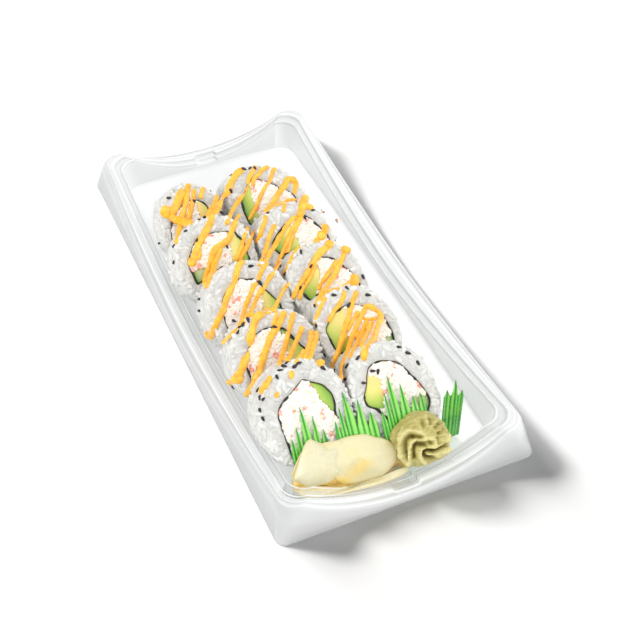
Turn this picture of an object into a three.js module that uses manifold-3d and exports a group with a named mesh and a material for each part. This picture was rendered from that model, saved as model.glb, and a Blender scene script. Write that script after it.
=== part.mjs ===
// A takeaway sushi tray: a shallow moulded plastic tray with ten inside-out rolls in two leaning rows,
// strips of green plastic grass, a pile of pickled ginger and a piped rosette of wasabi.
// Millimetres, +Z up. The origin is on the table under the middle of the tray, and -Y is the end
// where the condiments lie.
import * as THREE from "three";
import { mergeVertices } from "three/addons/utils/BufferGeometryUtils.js";
import Module from "manifold-3d";

// ---- Tray ----
const TRAY_LENGTH = 240;
const TRAY_WIDTH = 112;
const CORNER_RISE = 16.3; // height of the rim at its four corners
const END_RISE = 3.8; // height of the rim at the middle of a short end
const SIDE_RISE = 3.9; // height of the rim at the middle of a long side
const SKIRT_FLARE = 0.22; // how far the skirt leans in for each mm that it rises
const SHEET = 0.6; // thickness of the moulded sheet
const FOOT_RADIUS = 4.5;
const RIM_RADIUS = 8;
const LOCK_LENGTH = 11; // the lid's lock notch at the middle of each short end
const LOCK_DEPTH = 2.4;
const FLOOR = SHEET; // upper face of the tray's floor
const WALL_INSET = 11.6; // from the skirt's foot to the foot of the inner wall
const WALL_LEAN = 0.08; // how much further in the wall's foot is for each mm of rise

// ---- Rolls ----
const LEAN = Math.PI / 4; // how far the cut faces look up
const STANDING_LENGTH = 21; // length of roll that the height of a face is worked out from
const GAP = 0.3; // between pieces that touch
const NORI = 0.5; // thickness of the seaweed
const RECESS = 0.75; // nori and filling lie this much below the rice's cut face
const ROUND_POINTS = 22; // corners round a roll
const LOWER_POWER = 2.3; // a roll's lower half is a little squarer than an ellipse
const EDGE = 1.3; // rounding of the rice at a cut face
const WALL_ROOM = 1.6; // left between a roll and the tray's wall and rim
const GRAIN_RELIEF = 0.7;

// Each roll: where the middle of its cut face is, how far it is turned, half the width and height
// of its filling, the rice's thickness at the left, right, top and bottom, how pointed the filling
// is at the top (2 is round), how far the top is skewed to the left, and the side (degrees) and
// distance from the middle at which the avocado and, where there is one, the cucumber begins.
const ROLLS = [
  {
    name: "left_1", x: -30.7, y: 39.9, turn: 0, length: 19.5, point: 2, skew: 0,
    half: [10, 12.3], rice: [4.6, 5, 5, 5], avocado: [30, 4],
  },
  {
    name: "left_2", x: -28.9, y: 11.7, turn: 3, length: 19, point: 2.3, skew: 0,
    half: [13, 12.3], rice: [5.5, 4.8, 6.2, 5], avocado: [8, 7.4], cucumber: [205, 10.3],
  },
  {
    name: "left_3", x: -26.5, y: -21.8, turn: 0, length: 22.5, point: 1.9, skew: 0,
    half: [13, 13], rice: [5.8, 4.8, 6.3, 5], avocado: [10, 6],
  },
  {
    name: "left_4", x: -26.9, y: -52.9, turn: -2, length: 20.4, point: 2.2, skew: 0,
    half: [13.6, 12.5], rice: [6, 4, 6.5, 5], avocado: [-25, 6.5], cucumber: [65, 9.3],
  },
  {
    name: "left_5", x: -29, y: -87.6, turn: -4, length: 24, point: 1.6, skew: 0,
    half: [13, 15], rice: [6.6, 4.6, 6.8, 5], avocado: [23, 7.8],
  },
  {
    name: "right_1", x: 6.3, y: 38.8, turn: 2, length: 21, point: 2.3, skew: 0.25,
    half: [13, 11.5], rice: [5.2, 4.5, 6.5, 5], avocado: [180, 7.4],
  },
  {
    name: "right_2", x: 8.3, y: 8.6, turn: 0, length: 20.4, point: 2.2, skew: 0.1,
    half: [13, 11.5], rice: [4.8, 4.2, 6, 5], avocado: [212, 4.2],
  },
  {
    name: "right_3", x: 9.6, y: -22.9, turn: 0, length: 22, point: 2.1, skew: 0.15,
    half: [13.2, 12.5], rice: [4.8, 4, 6.2, 5], avocado: [156, 6],
  },
  {
    name: "right_4", x: 9.4, y: -53.6, turn: 0, length: 21.2, point: 2.2, skew: 0.15,
    half: [14, 13], rice: [4.2, 4, 6.2, 5], avocado: [160, 6.5], cucumber: [222, 8.6],
  },
  {
    name: "right_5", x: 7.2, y: -90.3, turn: -3, length: 24.5, point: 2, skew: 0.15,
    half: [13, 14.5], rice: [4.9, 3.8, 6.6, 4], avocado: [190, 6.6], cucumber: [-38, 8],
  },
];

// ---- Drizzle and seeds fused to the rice ----
const STROKE_ANGLE = THREE.MathUtils.degToRad(43);
const STROKE_OFFSETS = [-7, 0.5, 8]; // across the stroke's direction, from the face's middle
const STROKE_RADIUS = 1.25;
const STROKE_FLATNESS = 0.62; // height of a stroke as a share of its width
const SHORTEST_STROKE = 4.8;
const CLEAR_OF_NEXT = 2.2; // a stroke stops this far from the roll in front
const STROKE_STEPS = 6;
const STROKE_SIDES = 5;
const SEEDS_PER_ROLL = 4;
const SEED_SIZE = [1.5, 0.9, 0.7]; // half length, half width, half thickness

// ---- Condiments, in a frame of their own at the foot of the two front rolls ----
const FRONT_X = -11;
const FRONT_Y = -90.2;
const FRONT_TURN = THREE.MathUtils.degToRad(-4);
const LEAN_HEIGHT = 29.8; // where the leaning sheet passes over the frame's own origin
const FOOT_DISTANCE = 14.1; // how far in front of the origin the sheet stands upright
const BEND = 1.5; // softness of the sheet's bend
const GRASS_THICKNESS = 0.4;
// Each strip of grass runs from and to these places across, has blades from its root up to their tips,
// and leans on the rolls unless it stands upright at a place of its own.
const GRASS = [
  { name: "grass_left", from: -28.6, to: -13.4, root: 22.5, tips: [25.8, 28.6, 33.4, 30.1, 26] },
  { name: "grass_middle", from: -10.2, to: 7.3, root: 22, tips: [27.7, 33.1, 29.5, 26.4, 24.4] },
  { name: "grass_right", from: 8.7, to: 27.9, root: 21.5, tips: [25.6, 28.1, 31.2, 29.1, 25.6, 24] },
  { name: "grass_end", from: 35.4, to: 43.6, root: 20, tips: [29, 33.5, 27], stand: -5.5 },
];
const GINGER_BACK = 0.8; // distance of the pile's back from the grass sheet's middle
const WASABI_X = 22.2;
const WASABI_SLOPE = -18.5; // down the lean from where the sheet passes over the origin
const WASABI_RADIUS = 12;
const WASABI_HEIGHT = 9.5;
const WASABI_LOBES = 9;

const COLOURS = {
  tray: 0xeceeee,
  rice: 0xe4e5e2,
  nori: 0x1b211a,
  crab: 0xf6ead9,
  avocado: 0xb9cf62,
  cucumber: 0x5f9a3f,
  grass: 0x43b556,
  ginger: 0xf2e8b4,
  wasabi: 0xb3ad6c,
};

const wasm = await Module();
wasm.setup();

// A seeded draw from 0 to 1, so that every build is the same.
function seededDraw(seed) {
  let state = seed;
  return () => {
    state = (state * 1664525 + 1013904223) % 4294967296;
    return state / 4294967296;
  };
}

function material(kind, roughness = 0.6) {
  return new THREE.MeshStandardMaterial({ color: COLOURS[kind], roughness, metalness: 0 });
}

// ---- Solids from loops of points ----

function signedVolume(points, faces) {
  let sum = 0;
  const cross = new THREE.Vector3();
  for (const [a, b, c] of faces) sum += points[a].dot(cross.crossVectors(points[b], points[c]));
  return sum / 6;
}

function geometryOf(points, faces) {
  const turned = signedVolume(points, faces) < 0 ? faces.map(([a, b, c]) => [a, c, b]) : faces;
  const geometry = new THREE.BufferGeometry().setFromPoints(points);
  geometry.setIndex(turned.flat());
  geometry.computeVertexNormals();
  return geometry;
}

// Skin over loops of equal length. The ends are closed by rungs across the first and last loop,
// or the last loop is joined to the first where the loops themselves go round.
function loft(loops, goesRound = false) {
  const count = loops[0].length;
  const faces = [];
  const last = goesRound ? loops.length : loops.length - 1;
  for (let i = 0; i < last; i++) {
    const low = i * count;
    const high = ((i + 1) % loops.length) * count;
    for (let j = 0; j < count; j++) {
      const k = (j + 1) % count;
      faces.push([low + j, low + k, high + k], [low + j, high + k, high + j]);
    }
  }
  if (!goesRound) {
    addRungs(faces, 0, count, true);
    addRungs(faces, (loops.length - 1) * count, count, false);
  }
  return geometryOf(loops.flat(), faces);
}

function addRungs(faces, start, count, reversed) {
  for (let j = 0; j < Math.floor((count - 1) / 2); j++) {
    const [a, b] = [start + j, start + j + 1];
    const [c, d] = [start + count - 2 - j, start + count - 1 - j];
    const pair = b === c ? [[a, b, d]] : [[a, b, c], [a, c, d]];
    for (const [p, q, r] of pair) faces.push(reversed ? [p, r, q] : [p, q, r]);
  }
}

function solidOf(geometry) {
  const bare = geometry.clone();
  bare.deleteAttribute("normal");
  bare.deleteAttribute("uv");
  const merged = mergeVertices(bare, 1e-3);
  return new wasm.Manifold(
    new wasm.Mesh({
      numProp: 3,
      vertProperties: new Float32Array(merged.attributes.position.array),
      triVerts: new Uint32Array(merged.index.array),
    }),
  );
}

// Joins extra pieces to a base geometry and gives one geometry back.
function fuse(base, extras) {
  let joined = solidOf(base);
  for (const extra of extras) joined = joined.add(solidOf(extra));
  const mesh = joined.getMesh();
  const geometry = new THREE.BufferGeometry();
  geometry.setAttribute("position", new THREE.BufferAttribute(mesh.vertProperties, 3));
  geometry.setIndex(new THREE.BufferAttribute(mesh.triVerts, 1));
  geometry.computeVertexNormals();
  return geometry;
}

function addMesh(group, name, geometry, kind, roughness) {
  const mesh = new THREE.Mesh(geometry, material(kind, roughness));
  mesh.name = name;
  group.add(mesh);
  return mesh;
}

// ---- Tray ----

const END_STEPS = [0, 0.085, 0.13, 0.3, 0.52, 0.76, 1];
const SIDE_STEPS = [0, 0.2, 0.4, 0.6, 0.8, 1];
const CORNER_STEPS = 3;

// Stations round the rim: where each lies on its side (-1 to 1), or its angle in a corner,
// from the middle of the front end and anticlockwise seen from above.
function rimStations() {
  const stations = [];
  const alongEnd = (sign, part) => {
    const steps = part === "out" ? END_STEPS : [...END_STEPS].reverse();
    const side = part === "out" ? 1 : -1;
    for (const t of steps) stations.push({ side: "end", sign, t: side * t * -sign, rise: endRise(t) });
  };
  const corner = (sx, sy, from) => {
    for (let i = 1; i < CORNER_STEPS; i++) {
      stations.push({ side: "corner", sx, sy, angle: from + (i / CORNER_STEPS) * 90, rise: CORNER_RISE });
    }
  };
  const alongSide = (sign) => {
    const steps = [...SIDE_STEPS.slice(1).map((t) => -t).reverse(), ...SIDE_STEPS];
    for (const t of steps) stations.push({ side: "side", sign, t: t * sign, rise: sideRise(t) });
  };
  alongEnd(-1, "out");
  corner(1, -1, -90);
  alongSide(1);
  corner(1, 1, 0);
  alongEnd(1, "in");
  alongEnd(1, "out");
  corner(-1, 1, 90);
  alongSide(-1);
  corner(-1, -1, 180);
  alongEnd(-1, "in");
  return stations.filter((station, i) => i === 0 || !samePlace(station, stations[i - 1])).slice(0, -1);
}

function samePlace(a, b) {
  return a.side === b.side && a.sign === b.sign && a.t === b.t && a.side !== "corner";
}

function endRise(t) {
  return END_RISE + (CORNER_RISE - END_RISE) * Math.abs(t) ** 2.1;
}

function sideRise(t) {
  return SIDE_RISE + (CORNER_RISE - SIDE_RISE) * Math.abs(t) ** 1.6;
}

// The point of the tray's section that is inset by so much at this station.
function rimPoint(station, inset, height, radius) {
  const halfX = TRAY_WIDTH / 2 - inset;
  const halfY = TRAY_LENGTH / 2 - inset;
  if (station.side === "end") {
    return new THREE.Vector3(station.t * (halfX - radius), station.sign * halfY, height);
  }
  if (station.side === "side") {
    return new THREE.Vector3(station.sign * halfX, station.t * (halfY - radius), height);
  }
  const angle = THREE.MathUtils.degToRad(station.angle);
  return new THREE.Vector3(
    station.sx * (halfX - radius) + radius * Math.cos(angle),
    station.sy * (halfY - radius) + radius * Math.sin(angle),
    height,
  );
}

// The tray's section from the skirt's foot over the rim, the lid's ledge and the wall to the floor,
// as inset and height for a given rise of the rim. Upper face first, then the lower face.
function upperSection(rise, lock) {
  const wall = WALL_INSET + WALL_LEAN * (rise - END_RISE);
  return [
    [0, 0],
    [SKIRT_FLARE * (rise - 1.4), rise - 1.4],
    [SKIRT_FLARE * rise + 0.35, rise - 0.3],
    [SKIRT_FLARE * rise + 1.4, rise],
    [7.6 - lock, rise + 0.2],
    [8.3 - lock, rise - 0.75],
    [10.2 - lock, rise - 0.9],
    [10.9 - lock, rise - 1.8],
    [wall, FLOOR + 0.8],
    [wall + 1.3, FLOOR],
  ];
}

function lowerSection(rise, lock) {
  const wall = WALL_INSET + WALL_LEAN * (rise - END_RISE);
  return [
    [SHEET, 0],
    [SKIRT_FLARE * (rise - 1.7) + SHEET, rise - 1.7],
    [SKIRT_FLARE * rise + 1.4, rise - SHEET],
    [7.1 - lock, rise - 0.45],
    [7.7 - lock, rise - 1.3],
    [9.8 - lock, rise - 1.5],
    [10.2 - lock, rise - 2.2],
    [wall - SHEET, 0.9],
    [wall + 0.4, 0],
  ];
}

function lockAt(station) {
  const reach = (TRAY_WIDTH / 2 - RIM_RADIUS) * Math.abs(station.t);
  return station.side === "end" && reach < LOCK_LENGTH / 2 ? LOCK_DEPTH : 0;
}

function trayGeometry() {
  const stations = rimStations();
  const sectionLoops = (section) => {
    const size = section(CORNER_RISE, 0).length;
    return Array.from({ length: size }, (_, i) =>
      stations.map((station) => {
        const [inset, height] = section(station.rise, lockAt(station))[i];
        const outer = i === 0 && section === upperSection;
        return rimPoint(station, inset, height, outer ? FOOT_RADIUS : RIM_RADIUS);
      }),
    );
  };
  return loft([...sectionLoops(upperSection).reverse(), ...sectionLoops(lowerSection)]);
}

// ---- Rolls ----

// A closed curve with its own reach to the left, right, top and bottom. An exponent of 2 gives an
// ellipse, less gives a point and more a squarer form.
function fourSided(angle, [left, right, top, bottom], upper) {
  const [c, s] = [Math.cos(angle), Math.sin(angle)];
  const power = s > 0 ? upper : LOWER_POWER;
  const scale = (Math.abs(c) ** power + Math.abs(s) ** power) ** (-1 / power);
  return new THREE.Vector2(c * scale * (c > 0 ? right : left), s * scale * (s > 0 ? top : bottom));
}

function outlinePoint(roll, angle, reach, upper) {
  const p = fourSided(angle, reach, upper);
  p.x -= roll.skew * p.y;
  return p;
}

function roundAngles() {
  return Array.from({ length: ROUND_POINTS }, (_, i) => (i / ROUND_POINTS) * 2 * Math.PI);
}

function fillingReach(roll, grow) {
  const [a, b] = roll.half;
  return [a + grow, a + grow, b + grow, b + grow];
}

function riceReach(roll, grow) {
  const [a, b] = roll.half;
  const [left, right, top, bottom] = roll.rice;
  return [a + left + grow, a + right + grow, b + top + grow, b + bottom + grow];
}

function ricePower(roll) {
  return (roll.point + 2.4) / 2;
}

function faceHeight(roll) {
  const below = roll.half[1] + roll.rice[3];
  return below * Math.cos(LEAN) + STANDING_LENGTH * Math.sin(LEAN) + FLOOR + GAP;
}

// The roll rests on the floor and against the tray's wall, so what would lie beyond is pressed flat.
function pressedFlat(roll, point) {
  const lowest = FLOOR + GAP - faceHeight(roll) - point.z * Math.sin(LEAN);
  const pressed = new THREE.Vector3(point.x, Math.max(point.y, lowest / Math.cos(LEAN)), point.z);
  const turn = THREE.MathUtils.degToRad(roll.turn);
  const height = faceHeight(roll) + (pressed.y + pressed.z) * Math.sin(LEAN);
  const back = (pressed.y - pressed.z) * Math.cos(LEAN);
  const place = new THREE.Vector2(
    roll.x + pressed.x * Math.cos(turn) - back * Math.sin(turn),
    roll.y + pressed.x * Math.sin(turn) + back * Math.cos(turn),
  );
  const rise = sideRise(Math.min(1, Math.abs(place.y) / (TRAY_LENGTH / 2 - WALL_INSET)));
  const wall = -TRAY_WIDTH / 2 + WALL_INSET + WALL_ROOM;
  if (height < rise + WALL_ROOM && place.x < wall) pressed.x += wall - place.x;
  return pressed;
}

function riceRing(roll, draw) {
  const loopAt = (reach, power, depth, relief) =>
    roundAngles().map((angle) => {
      const p = outlinePoint(roll, angle, reach, power);
      p.multiplyScalar(1 - (relief * draw()) / p.length());
      return pressedFlat(roll, new THREE.Vector3(p.x, p.y, depth));
    });
  const inner = fillingReach(roll, GAP);
  const outer = riceReach(roll, 0);
  const rounded = riceReach(roll, -EDGE);
  const power = ricePower(roll);
  return loft(
    [
      loopAt(inner, roll.point, -roll.length, 0),
      loopAt(rounded, power, -roll.length, 0),
      loopAt(outer, power, -roll.length + EDGE, GRAIN_RELIEF),
      loopAt(outer, power, -roll.length / 2, GRAIN_RELIEF),
      loopAt(outer, power, -EDGE, GRAIN_RELIEF),
      loopAt(rounded, power, 0, GRAIN_RELIEF),
      loopAt(inner, roll.point, 0, 0),
    ],
    true,
  );
}

function noriShape(roll) {
  const ring = (grow) =>
    roundAngles().map((angle) => outlinePoint(roll, angle, fillingReach(roll, grow), roll.point));
  const shape = new THREE.Shape(ring(0));
  shape.holes.push(new THREE.Path(ring(-NORI)));
  return shape;
}

// Keeps the part of an outline that lies beyond a straight line, or the part before it.
function cutByLine(outline, [side, distance], keepsBeyond) {
  const angle = THREE.MathUtils.degToRad(side);
  const normal = new THREE.Vector2(Math.cos(angle), Math.sin(angle));
  const sign = keepsBeyond ? 1 : -1;
  const edge = distance + (sign * GAP) / 2;
  const beyond = (p) => sign * (p.dot(normal) - edge);
  const kept = [];
  outline.forEach((p, i) => {
    const q = outline[(i + 1) % outline.length];
    if (beyond(p) >= 0) kept.push(p);
    if (beyond(p) * beyond(q) < 0) kept.push(p.clone().lerp(q, beyond(p) / (beyond(p) - beyond(q))));
  });
  return kept;
}

function fillingShape(roll, kind) {
  const reach = fillingReach(roll, -NORI - GAP);
  let outline = roundAngles().map((angle) => outlinePoint(roll, angle, reach, roll.point));
  if (roll.cucumber) outline = cutByLine(outline, roll.cucumber, kind === "cucumber");
  if (kind !== "cucumber") outline = cutByLine(outline, roll.avocado, kind === "avocado");
  return new THREE.Shape(outline);
}

function extruded(roll, shape) {
  const depth = roll.length - 2 * RECESS;
  const geometry = new THREE.ExtrudeGeometry(shape, { depth, bevelEnabled: false, curveSegments: 1 });
  return geometry.translate(0, 0, -roll.length + RECESS);
}

// How far outside a roll's rice a point of its face lies: 1 is on the rice's edge, less is inside.
function levelOf(roll, point, grow) {
  const reach = riceReach(roll, grow);
  const power = ricePower(roll);
  const x = point.x + roll.skew * point.y;
  const across = Math.abs(x) / (x > 0 ? reach[1] : reach[0]);
  const along = Math.abs(point.y) / (point.y > 0 ? reach[2] : reach[3]);
  return (across ** power + along ** power) ** (1 / power);
}

// Where the roll in front stands in this roll's own face.
function coverOf(roll, next) {
  const turn = THREE.MathUtils.degToRad(roll.turn);
  const away = new THREE.Vector3(next.x - roll.x, next.y - roll.y, faceHeight(next) - faceHeight(roll));
  away.applyAxisAngle(new THREE.Vector3(0, 0, 1), -turn).applyAxisAngle(new THREE.Vector3(1, 0, 0), -LEAN);
  return new THREE.Vector2(away.x, away.y);
}

// The stretch of one straight stroke that shows on a face: inside its rice and clear of the roll in front.
function visibleStretch(roll, next, offset) {
  const along = new THREE.Vector2(Math.cos(STROKE_ANGLE), Math.sin(STROKE_ANGLE));
  const across = new THREE.Vector2(-along.y, along.x);
  const cover = coverOf(roll, next);
  const shows = (t) => {
    const p = along.clone().multiplyScalar(t).addScaledVector(across, -offset);
    return levelOf(roll, p, 0) < 0.97 && levelOf(next, p.clone().sub(cover), CLEAR_OF_NEXT) > 1;
  };
  const run = Array.from({ length: 97 }, (_, i) => (i - 48) / 2).filter(shows);
  const [from, to] = [run[0], run[run.length - 1]];
  return run.length === 0 || to - from < SHORTEST_STROKE ? null : { from, to, along, across, offset };
}

// One stroke of sauce: a flat round bead that sways a little and swells near its lower end.
function stroke(stretch, draw) {
  const wave = draw() * 2 * Math.PI;
  const swelling = 0.2 + 0.5 * draw();
  const { along, across, offset } = stretch;
  const loops = [];
  for (let i = 0; i <= STROKE_STEPS; i++) {
    const part = i / STROKE_STEPS;
    const t = THREE.MathUtils.lerp(stretch.from, stretch.to, part);
    const sway = 0.5 * Math.sin(t / 4 + wave);
    const centre = along.clone().multiplyScalar(t).addScaledVector(across, sway - offset);
    const end = part === 0 || part === 1 ? 0.35 : 1;
    const swell = 1 + swelling * Math.exp(-(((part - 0.08) / 0.14) ** 2));
    const radius = STROKE_RADIUS * end * swell * (1.08 - 0.3 * part);
    const bead = Array.from({ length: STROKE_SIDES }, (_, k) => {
      const angle = ((k + 0.5) / STROKE_SIDES) * 2 * Math.PI - Math.PI / 2;
      const p = centre.clone().addScaledVector(across, radius * Math.cos(angle));
      return new THREE.Vector3(p.x, p.y, 0.32 + STROKE_FLATNESS * radius * Math.sin(angle));
    });
    loops.push(bead);
  }
  return loft(loops);
}

// Sesame seeds sit on the outside of the rice, just behind the cut face, on the side that is free.
function seed(roll, index, draw) {
  const isLeft = roll.name.startsWith("left");
  const from = isLeft ? 75 : -5;
  const angle = THREE.MathUtils.degToRad(from + (110 * (index + draw())) / SEEDS_PER_ROLL);
  const p = outlinePoint(roll, angle, riceReach(roll, -GRAIN_RELIEF / 2), ricePower(roll));
  const geometry = new THREE.SphereGeometry(1, 5, 4).scale(...SEED_SIZE);
  geometry.rotateZ(angle + Math.PI / 2).rotateX((draw() - 0.5) * 0.4);
  return geometry.translate(p.x, p.y, -EDGE - 3 * draw());
}

function rollGroup(roll, next, index) {
  const draw = seededDraw(101 + 17 * index);
  const group = new THREE.Group();
  group.position.set(roll.x, roll.y, faceHeight(roll));
  group.rotation.set(Math.PI / 2 - LEAN, 0, THREE.MathUtils.degToRad(roll.turn), "ZXY");
  const extras = Array.from({ length: SEEDS_PER_ROLL }, (_, i) => seed(roll, i, draw));
  if (next) {
    const offsets = STROKE_OFFSETS.map((offset) => offset + 1.5 * (draw() - 0.5));
    const stretches = offsets.map((offset) => visibleStretch(roll, next, offset));
    extras.push(...stretches.filter(Boolean).map((stretch) => stroke(stretch, draw)));
  }
  addMesh(group, `rice_${roll.name}`, fuse(riceRing(roll, draw), extras), "rice", 0.55);
  addMesh(group, `nori_${roll.name}`, extruded(roll, noriShape(roll)), "nori", 0.5);
  for (const kind of roll.cucumber ? ["crab", "avocado", "cucumber"] : ["crab", "avocado"]) {
    addMesh(group, `${kind}_${roll.name}`, extruded(roll, fillingShape(roll, kind)), kind, 0.6);
  }
  return group;
}

// ---- Condiments ----

// The grass stands upright at the foot of the front rolls and leans back with their cut faces:
// how far forward or back it is at a given height.
function leanAt(height) {
  const upright = -FOOT_DISTANCE;
  const leaning = height - LEAN_HEIGHT;
  return (upright + leaning + Math.hypot(upright - leaning, BEND)) / 2;
}

// A point at this height on the sheet, moved out of it towards the viewer's side.
function onLean(x, height, out) {
  const step = 0.01;
  const slope = (leanAt(height + step) - leanAt(height - step)) / (2 * step);
  const length = Math.hypot(1, slope);
  return new THREE.Vector3(x, leanAt(height) - out / length, height + (out * slope) / length);
}

// A strip of plastic grass: a plain band with one pointed blade after another above it.
function grassGeometry(strip) {
  const blades = strip.tips.length;
  const width = (strip.to - strip.from) / blades;
  const levels = [FLOOR + GAP, 8, 13.5, 16.5, 19, strip.root];
  const place = (x, height, side) =>
    strip.stand === undefined
      ? onLean(x, height, (side * GRASS_THICKNESS) / 2)
      : new THREE.Vector3(x, strip.stand - (side * GRASS_THICKNESS) / 2, height);
  const points = [];
  const faces = [];
  const row = blades + 1;
  const half = levels.length * row + blades;
  for (const side of [1, -1]) {
    for (const level of levels) {
      for (let i = 0; i <= blades; i++) points.push(place(strip.from + i * width, level, side));
    }
    strip.tips.forEach((tip, i) => points.push(place(strip.from + (i + 0.55) * width, tip, side)));
  }
  const outline = [];
  for (let i = 0; i < blades; i++) outline.push(i);
  for (let k = 0; k < levels.length - 1; k++) outline.push(k * row + blades);
  for (let i = blades; i > 0; i--) outline.push((levels.length - 1) * row + i, levels.length * row + i - 1);
  for (let k = levels.length - 1; k > 0; k--) outline.push(k * row);
  for (const [start, turned] of [[0, false], [half, true]]) {
    const add = (a, b, c) => faces.push((turned ? [a, c, b] : [a, b, c]).map((corner) => start + corner));
    for (let k = 0; k < levels.length - 1; k++) {
      for (let i = 0; i < blades; i++) {
        const a = k * row + i;
        add(a, a + 1, a + row + 1);
        add(a, a + row + 1, a + row);
      }
    }
    const top = (levels.length - 1) * row;
    for (let i = 0; i < blades; i++) add(top + i, top + i + 1, levels.length * row + i);
  }
  outline.forEach((a, i) => {
    const b = outline[(i + 1) % outline.length];
    faces.push([a, a + half, b + half], [a, b + half, b]);
  });
  return geometryOf(points, faces);
}

// Height of the ginger's upper edge along the pile, as places and heights between which it is smooth.
const GINGER_EDGE = new THREE.SplineCurve([
  new THREE.Vector2(-31.5, 17.5),
  new THREE.Vector2(-26, 22.6),
  new THREE.Vector2(-20.6, 25.4),
  new THREE.Vector2(-15.5, 22),
  new THREE.Vector2(-8, 23),
  new THREE.Vector2(0, 22),
  new THREE.Vector2(6, 19),
  new THREE.Vector2(8.8, 15),
]);
const GINGER_MIDDLE = -11;
const GINGER_FOOT = 0.74; // breadth of the pile on the floor, as a share of its breadth higher up
const GINGER_COLUMNS = 18;
const GINGER_ROWS = 7;

// How thick the pile is, from a thin foot in front of the wall to a full belly and a thin upper edge.
function gingerThickness(across, up) {
  const foot = 1.3 + 4.6 * THREE.MathUtils.smoothstep(up, 0, 0.45);
  const edge = 1 - 0.78 * THREE.MathUtils.smoothstep(up, 0.62, 1);
  const ends = Math.sin(Math.PI * THREE.MathUtils.clamp(across, 0.04, 0.96)) ** 0.35;
  const folds = 1 + 0.16 * Math.sin(across * 17 + up * 3) + 0.1 * Math.sin(across * 7 - up * 8);
  return foot * edge * ends * folds;
}

// Keeps a point of the condiments' frame inside the tray's front wall where the wall stands beside it.
function insideFrontWall(point) {
  const across = FRONT_X + point.x * Math.cos(FRONT_TURN) - point.y * Math.sin(FRONT_TURN);
  const ahead = FRONT_Y + point.x * Math.sin(FRONT_TURN) + point.y * Math.cos(FRONT_TURN);
  const rise = endRise(Math.min(1, Math.abs(across) / (TRAY_WIDTH / 2 - RIM_RADIUS)));
  const wall = -TRAY_LENGTH / 2 + WALL_INSET + 2 * WALL_LEAN * rise + WALL_ROOM;
  if (point.z < rise + WALL_ROOM && ahead < wall) point.y += wall - ahead;
  return point;
}

function gingerGeometry() {
  const loops = [];
  for (let i = 0; i <= GINGER_COLUMNS; i++) {
    const across = i / GINGER_COLUMNS;
    const top = GINGER_EDGE.getPoint(across);
    const levels = Array.from({ length: GINGER_ROWS + 1 }, (_, k) => k / GINGER_ROWS);
    const heightAt = (up) => FLOOR + GAP + (top.y - FLOOR - GAP) * up;
    const breadth = (up) => GINGER_FOOT + (1 - GINGER_FOOT) * Math.min(1, 1.8 * up);
    const xAt = (up) => GINGER_MIDDLE + (top.x - GINGER_MIDDLE) * breadth(up);
    const back = levels.map((up) => onLean(xAt(up), heightAt(up), GINGER_BACK));
    const front = levels.map((up) =>
      insideFrontWall(onLean(xAt(up), heightAt(up), GINGER_BACK + gingerThickness(across, up))),
    );
    loops.push([...back, ...front.reverse()]);
  }
  return loft(loops);
}

// The wasabi is piped through a star nozzle: a domed rosette with twisted lobes, leaning on the grass.
function wasabiGeometry() {
  const count = WASABI_LOBES * 4;
  const rings = 7;
  const loops = [];
  for (let k = 0; k <= rings; k++) {
    const part = k / rings;
    const height = WASABI_HEIGHT * Math.sin((part * Math.PI) / 2) ** 0.9;
    const size = WASABI_RADIUS * Math.cos((part * Math.PI) / 2) ** 0.55 * 0.93 + 0.8;
    loops.push(
      Array.from({ length: count }, (_, i) => {
        const angle = (i / count) * 2 * Math.PI;
        const lobes = 1 + 0.085 * Math.cos(WASABI_LOBES * (angle + part * 0.9));
        return new THREE.Vector3(size * lobes * Math.cos(angle), size * lobes * Math.sin(angle), height);
      }),
    );
  }
  const rosette = loft(loops).rotateX(Math.PI / 2 - LEAN);
  const centre = onLean(WASABI_X, LEAN_HEIGHT, 1);
  const down = WASABI_SLOPE * Math.cos(LEAN);
  return rosette.translate(centre.x, centre.y + down, centre.z + down);
}

function condiments() {
  const group = new THREE.Group();
  group.position.set(FRONT_X, FRONT_Y, 0);
  group.rotation.z = FRONT_TURN;
  for (const strip of GRASS) addMesh(group, strip.name, grassGeometry(strip), "grass", 0.35);
  addMesh(group, "ginger", gingerGeometry(), "ginger", 0.4);
  addMesh(group, "wasabi", wasabiGeometry(), "wasabi", 0.6);
  return group;
}

const tray = new THREE.Group();
addMesh(tray, "tray", trayGeometry(), "tray", 0.2);
ROLLS.forEach((roll, index) => {
  const isFront = roll.name.endsWith("_5");
  tray.add(rollGroup(roll, isFront ? null : ROLLS[index + 1], index));
});
tray.add(condiments());

export default tray;
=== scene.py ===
"""A takeaway sushi tray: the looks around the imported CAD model.

Shapes are worked out in millimetres in the CAD's own frame and turned into metres where a mesh is made.
"""

import math

import bpy
import numpy as np
from mathutils import Matrix, Vector
from mathutils.bvhtree import BVHTree


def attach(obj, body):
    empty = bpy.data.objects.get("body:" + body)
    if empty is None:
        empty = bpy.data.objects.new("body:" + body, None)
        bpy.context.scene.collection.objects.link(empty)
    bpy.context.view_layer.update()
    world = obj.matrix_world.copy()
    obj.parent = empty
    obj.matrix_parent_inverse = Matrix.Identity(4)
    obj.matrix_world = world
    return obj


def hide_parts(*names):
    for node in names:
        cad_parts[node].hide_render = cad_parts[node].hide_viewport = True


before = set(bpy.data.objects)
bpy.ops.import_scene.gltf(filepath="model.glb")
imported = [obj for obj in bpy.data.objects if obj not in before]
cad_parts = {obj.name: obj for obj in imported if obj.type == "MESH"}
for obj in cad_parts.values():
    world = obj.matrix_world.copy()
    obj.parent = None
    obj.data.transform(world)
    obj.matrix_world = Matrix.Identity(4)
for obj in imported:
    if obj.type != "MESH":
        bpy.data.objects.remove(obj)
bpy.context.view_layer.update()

MM = 0.001
TURN = 2 * math.pi

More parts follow.
